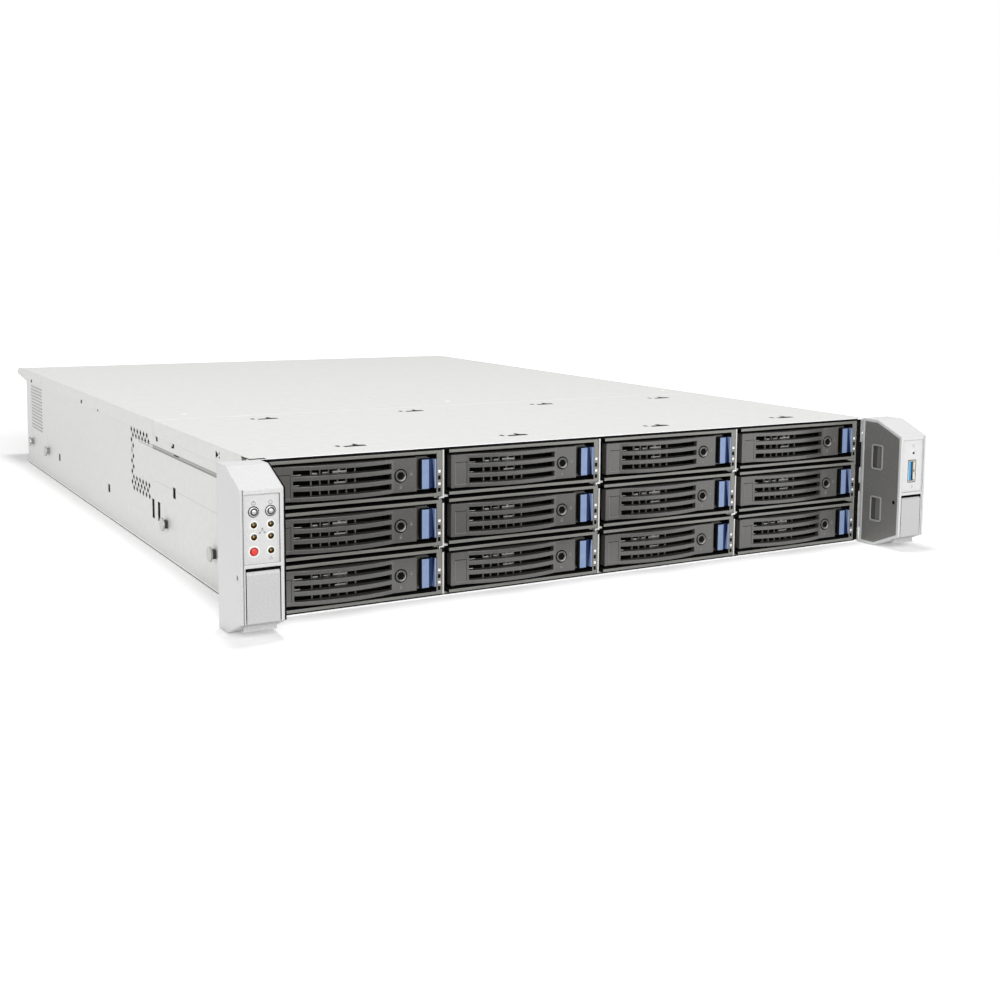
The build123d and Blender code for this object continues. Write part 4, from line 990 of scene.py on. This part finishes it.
def rear_ports():
    """Shells, tongues and contacts of the sockets on the rear of the main board."""
    low = span("motherboard")[0]
    face = span("rear_panel")[1].y
    base = low.z + 7.6
    bm = bmesh.new()

    def mouth(x, width, height):
        middle = (x, face, base + height / 2)
        add_rim(bm, (width, height), 0.8, 0.8, (-0.2, 0.5), middle, "+Y", 0)
        half = width / 2 - 0.8
        add_boxes(bm, (x, face, base), [(-half, half, -0.2, 0.05, 0.8, height - 0.8, 1)])

    # Two stacked USB sockets with a bar between them.
    x = low.x + 22.0
    mouth(x, 15.0, 16.0)
    add_boxes(bm, (x, face, base), (
        (-6.8, 6.8, 0, 0.4, 7.6, 8.4, 0), (-5.6, 5.6, 0, 0.3, 3.2, 5.1, 2),
        (-5.6, 5.6, 0, 0.3, 11.4, 13.3, 2),
    ))
    # Two network sockets: eight contacts and two lamps each.
    for offset in (44.0, 64.0):
        x = low.x + offset
        mouth(x, 16.0, 14.0)
        for step in range(8):
            left = x - 3.8 + step * 1.02
            add_box(bm, left, left + 0.5, face, face + 0.2, base + 8.2, base + 11.6, 3)
        add_boxes(bm, (x, face, base), (
            (-7.4, -5.8, 0, 0.3, 1.2, 3.4, 4), (5.8, 7.4, 0, 0.3, 1.2, 3.4, 4),
        ))
    # Display socket: blue insert with three rows of holes, and two hexagon nuts.
    x = low.x + 97.0
    mouth(x, 31.0, 12.5)
    add_box(bm, x - 8.2, x + 8.2, face, face + 0.5, base + 2.4, base + 10.0, 2)
    for row in range(3):
        for step in range(5):
            spot = (x - 4.9 + step * 2.3 + (row % 2) * 1.1, face + 0.5, base + 4.0 + row * 2.2)
            add_turned(bm, [(0.5, -0.1), (0.5, 0.04), (0, 0.04)], spot, "+Y", 12, 1)
    for side in (-1, 1):
        nut = [(2.5, 0.0), (2.5, 2.6), (1.3, 2.8), (1.3, 1.0), (0, 1.0)]
        add_turned(bm, nut, (x + side * 12.5, face, base + 6.2), "+Y", 6, 0)
    piece("rear_ports", bm, [nickel, gap_black, blue, gold, amber_lens_and_painted_highlight], "chassis")


def rear_sheet():
    """Perforated fields, card slot screws and cover screws on the rear sheet."""
    low, high = span("rear_panel")
    supply_low, supply_high = span("power_supply_1")
    hole = master_piece("rear_hole", lambda bm: add_turned(
        bm, [(1.5, -0.2), (1.5, 0.03), (0, 0.03)], (0, 0, 0), "+Y", 6,
    ))
    points = []
    for row in range(9):
        for step in range(26):
            x = supply_low.x - 108.0 + 3.9 * step + 1.95 * (row % 2)
            points.append((x, high.y, 14.0 + 3.4 * row))
    # The blank card covers stand one sheet further in and have one row of holes each.
    for row in range(2):
        for step in range(26):
            x = supply_low.x + 14.0 + 4.2 * step
            points.append((x, high.y - 1.2, supply_high.z + 13.0 + 20.0 * row))
    on_points("rear_holes", hole, points, gap_black, "chassis")
    bm = bmesh.new()
    for x, z in (
        (low.x + 5.0, 70.0), (high.x - 5.0, 70.0), (supply_low.x - 3.0, 70.0), (supply_low.x - 3.0, 8.0),
        (supply_low.x + 130.0, 54.0), (supply_low.x + 130.0, 74.0), (low.x + 126.0, 12.0),
    ):
        spot = (x, high.y, z)
        add_turned(bm, [(2.7, -0.1), (2.7, 0.7), (2.3, 1.2), (0, 1.4)], spot, "+Y", 24, 0)
        add_boxes(bm, spot, (
            (-0.25, 0.25, 1.3, 1.45, -1.4, 1.4, 1), (-1.4, 1.4, 1.3, 1.45, -0.25, 0.25, 1),
        ))
    piece("rear_screws", bm, [nickel, gap_black], "chassis")


def supply_trim(index):
    """Mains inlet with its blades, a release tab and a lamp on the rear of one power supply."""
    node = f"power_supply_{index}"
    low, high = span(node)
    face = span("rear_panel")[1].y + 1.0
    x = (low.x + high.x) / 2
    z = low.z + 20.0
    inlet = (x - 20.0, face, z)
    bm = bmesh.new()
    add_rim(bm, (27.0, 19.0), 2.6, 1.6, (-0.1, 1.0), inlet, "+Y", 0)
    add_rim(bm, (23.9, 15.9), 2.4, 1.0, (-11.9, 0.6), inlet, "+Y", 0)
    # Floor of the inlet, its three blades and the blue release tab above it, with finger ridges.
    add_boxes(bm, inlet, (
        (-11.0, 11.0, -11.95, -11.6, -7.0, 7.0, 0), (-8.0, -6.0, -11.7, -2.5, -3.0, 1.0, 1),
        (-1.0, 1.0, -11.7, -2.5, 0.4, 4.4, 1), (6.0, 8.0, -11.7, -2.5, -3.0, 1.0, 1),
        (-10.0, 8.0, -0.1, 4.0, 13.0, 16.6, 2),
    ))
    ridges = [2.4 * step - 8.0 for step in range(6)]
    add_boxes(bm, inlet, [(left, left + 1.0, 3.9, 4.6, 13.4, 16.2, 2) for left in ridges])
    add_turned(bm, [(1.7, -0.1), (1.7, 0.4), (1.2, 0.8), (0, 0.9)], (x + 8.0, face, z + 16.4), "+Y", 20, 3)
    piece(f"supply_trim_{index}", bm, [black_nylon, nickel, blue, light_pipe], node)


rear_ports()
rear_sheet()
supply_trim(1)
supply_trim(2)


# Camera, light and floor

def photo_camera():
    """Camera fitted to the photograph: a normal lens a little above the front left corner."""
    # In pixels: the side of the picture, the focal length and the place of the lens axis.
    picture = 1000
    focal = 1351.073
    axis_x = 566.257
    axis_y = 414.762
    azimuth = math.radians(31.741)
    elevation = math.radians(6.5096)
    roll = math.radians(0.6859)
    level = math.cos(elevation)
    forward = Vector((math.sin(azimuth) * level, math.cos(azimuth) * level, -math.sin(elevation)))
    right = Vector((math.cos(azimuth), -math.sin(azimuth), 0))
    up = right.cross(forward)
    tilted_right = right * math.cos(roll) + up * math.sin(roll)
    tilted_up = up * math.cos(roll) - right * math.sin(roll)
    data = bpy.data.cameras.new("photo camera")
    data.sensor_width = 36.0
    data.lens = focal / picture * data.sensor_width
    data.shift_x = (picture / 2 - axis_x) / picture
    data.shift_y = (axis_y - picture / 2) / picture
    data.clip_start = 0.05
    data.clip_end = 200
    camera = linked("photo camera", data)
    turn = Matrix((tilted_right, tilted_up, -forward)).transposed()
    spot = Vector((-453.498, -693.145 + FRONT, 195.361)) * MM
    camera.matrix_world = Matrix.Translation(spot) @ turn.to_4x4()
    bpy.context.scene.camera = camera


def soft_lamp(name, spot, target, size, power, mirrored=True):
    """A square softbox, seen in shiny surfaces unless it is kept out of them."""
    data = bpy.data.lights.new(name, "AREA")
    data.shape = "SQUARE"
    data.size = size
    data.energy = power
    lamp = linked(name, data)
    lamp.visible_glossy = mirrored
    lamp.location = spot
    lamp.rotation_mode = "QUATERNION"
    lamp.rotation_quaternion = (Vector(target) - Vector(spot)).to_track_quat("-Z", "Y")


def maths(tree, operation, first, second):
    """Result of an operation on two sockets."""
    return add(tree, "ShaderNodeMath", links={0: first, 1: second}, operation=operation).outputs[0]


def seen_directly(tree):
    """1 for rays from the camera, mirrors and glass, so that they see the white studio."""
    path = add(tree, "ShaderNodeLightPath").outputs
    first = maths(tree, "MAXIMUM", path["Is Camera Ray"], path["Is Glossy Ray"])
    return maths(tree, "MAXIMUM", first, path["Is Transmission Ray"])


def white_floor():
    """Pale floor that keeps the object's shadow and is white to the camera where nothing shades it."""
    mesh = bpy.data.meshes.new("floor")
    reach = 40
    corners = [(-reach, -reach, 0), (reach, -reach, 0), (reach, reach, 0), (-reach, reach, 0)]
    mesh.from_pydata(corners, [], [(0, 1, 2, 3)])
    floor = linked("floor", mesh)
    material = bpy.data.materials.new("floor_paper")
    material.use_nodes = True
    tree = material.node_tree
    tree.nodes.clear()
    paper = add(tree, "ShaderNodeBsdfDiffuse", {"Color": (0.8, 0.8, 0.8, 1)})
    place = add(tree, "ShaderNodeTexCoord").outputs["Object"]
    away = add(tree, "ShaderNodeVectorMath", links={0: place}, operation="LENGTH")
    # Little glow near the object, so that its shadow stays, and more where the lamps no longer reach.
    glow_here = add(
        tree, "ShaderNodeMapRange", {"From Min": 0.45, "From Max": 1.3, "To Min": 0.3, "To Max": 0.95},
        {"Value": away.outputs["Value"]},
    )
    strength = maths(tree, "MULTIPLY", seen_directly(tree), glow_here.outputs["Result"])
    glow = add(tree, "ShaderNodeEmission", {"Color": (1, 1, 1, 1)}, {"Strength": strength})
    both = add(tree, "ShaderNodeAddShader", links={0: paper.outputs[0], 1: glow.outputs[0]})
    add(tree, "ShaderNodeOutputMaterial", links={"Surface": both.outputs[0]})
    mesh.materials.append(material)


def white_world():
    """Even white surround: full white to the camera, weaker as light."""
    world = bpy.data.worlds.new("studio")
    bpy.context.scene.world = world
    world.use_nodes = True
    tree = world.node_tree
    tree.nodes.clear()
    strength = add(
        tree, "ShaderNodeMapRange", {"To Min": 0.2, "To Max": 1.0}, {"Value": seen_directly(tree)},
    )
    sky = add(tree, "ShaderNodeBackground", {"Color": (1, 1, 1, 1)}, {"Strength": strength.outputs[0]})
    add(tree, "ShaderNodeOutputWorld", links={"Surface": sky.outputs[0]})


def dark_flag():
    """Dark cards low in front on the left, seen only in reflections: they deepen the left columns."""
    mesh = bpy.data.meshes.new("dark flag")
    left, right, front, back = -0.8, 0.12, -0.95, -0.38
    low, high = 0.004, 0.35
    corners = [(left, front, low), (right, front, low), (right, back, low), (left, back, low)]
    corners += [(left, front - 0.01, high), (right, front - 0.01, high)]
    mesh.from_pydata(corners, [], [(0, 1, 2, 3), (0, 1, 5, 4)])
    flag = linked("dark flag", mesh)
    mesh.materials.append(gap_black)
    flag.visible_camera = False
    flag.visible_diffuse = False
    flag.visible_shadow = False


photo_camera()
white_world()
white_floor()
soft_lamp("overhead softbox", (0.02, -0.1, 2.1), (0, -0.1, 0), 0.35, 19.5, False)
soft_lamp("front softbox", (-0.3, -2.1, 0.9), (0, -0.2, 0.04), 1.2, 33)
soft_lamp("left softbox", (-2.2, -0.5, 0.8), (-0.2, 0, 0.04), 1.0, 13.6)
dark_flag()
bpy.context.scene.view_settings.view_transform = "Standard"

for master in masters:
    bpy.data.objects.remove(master)
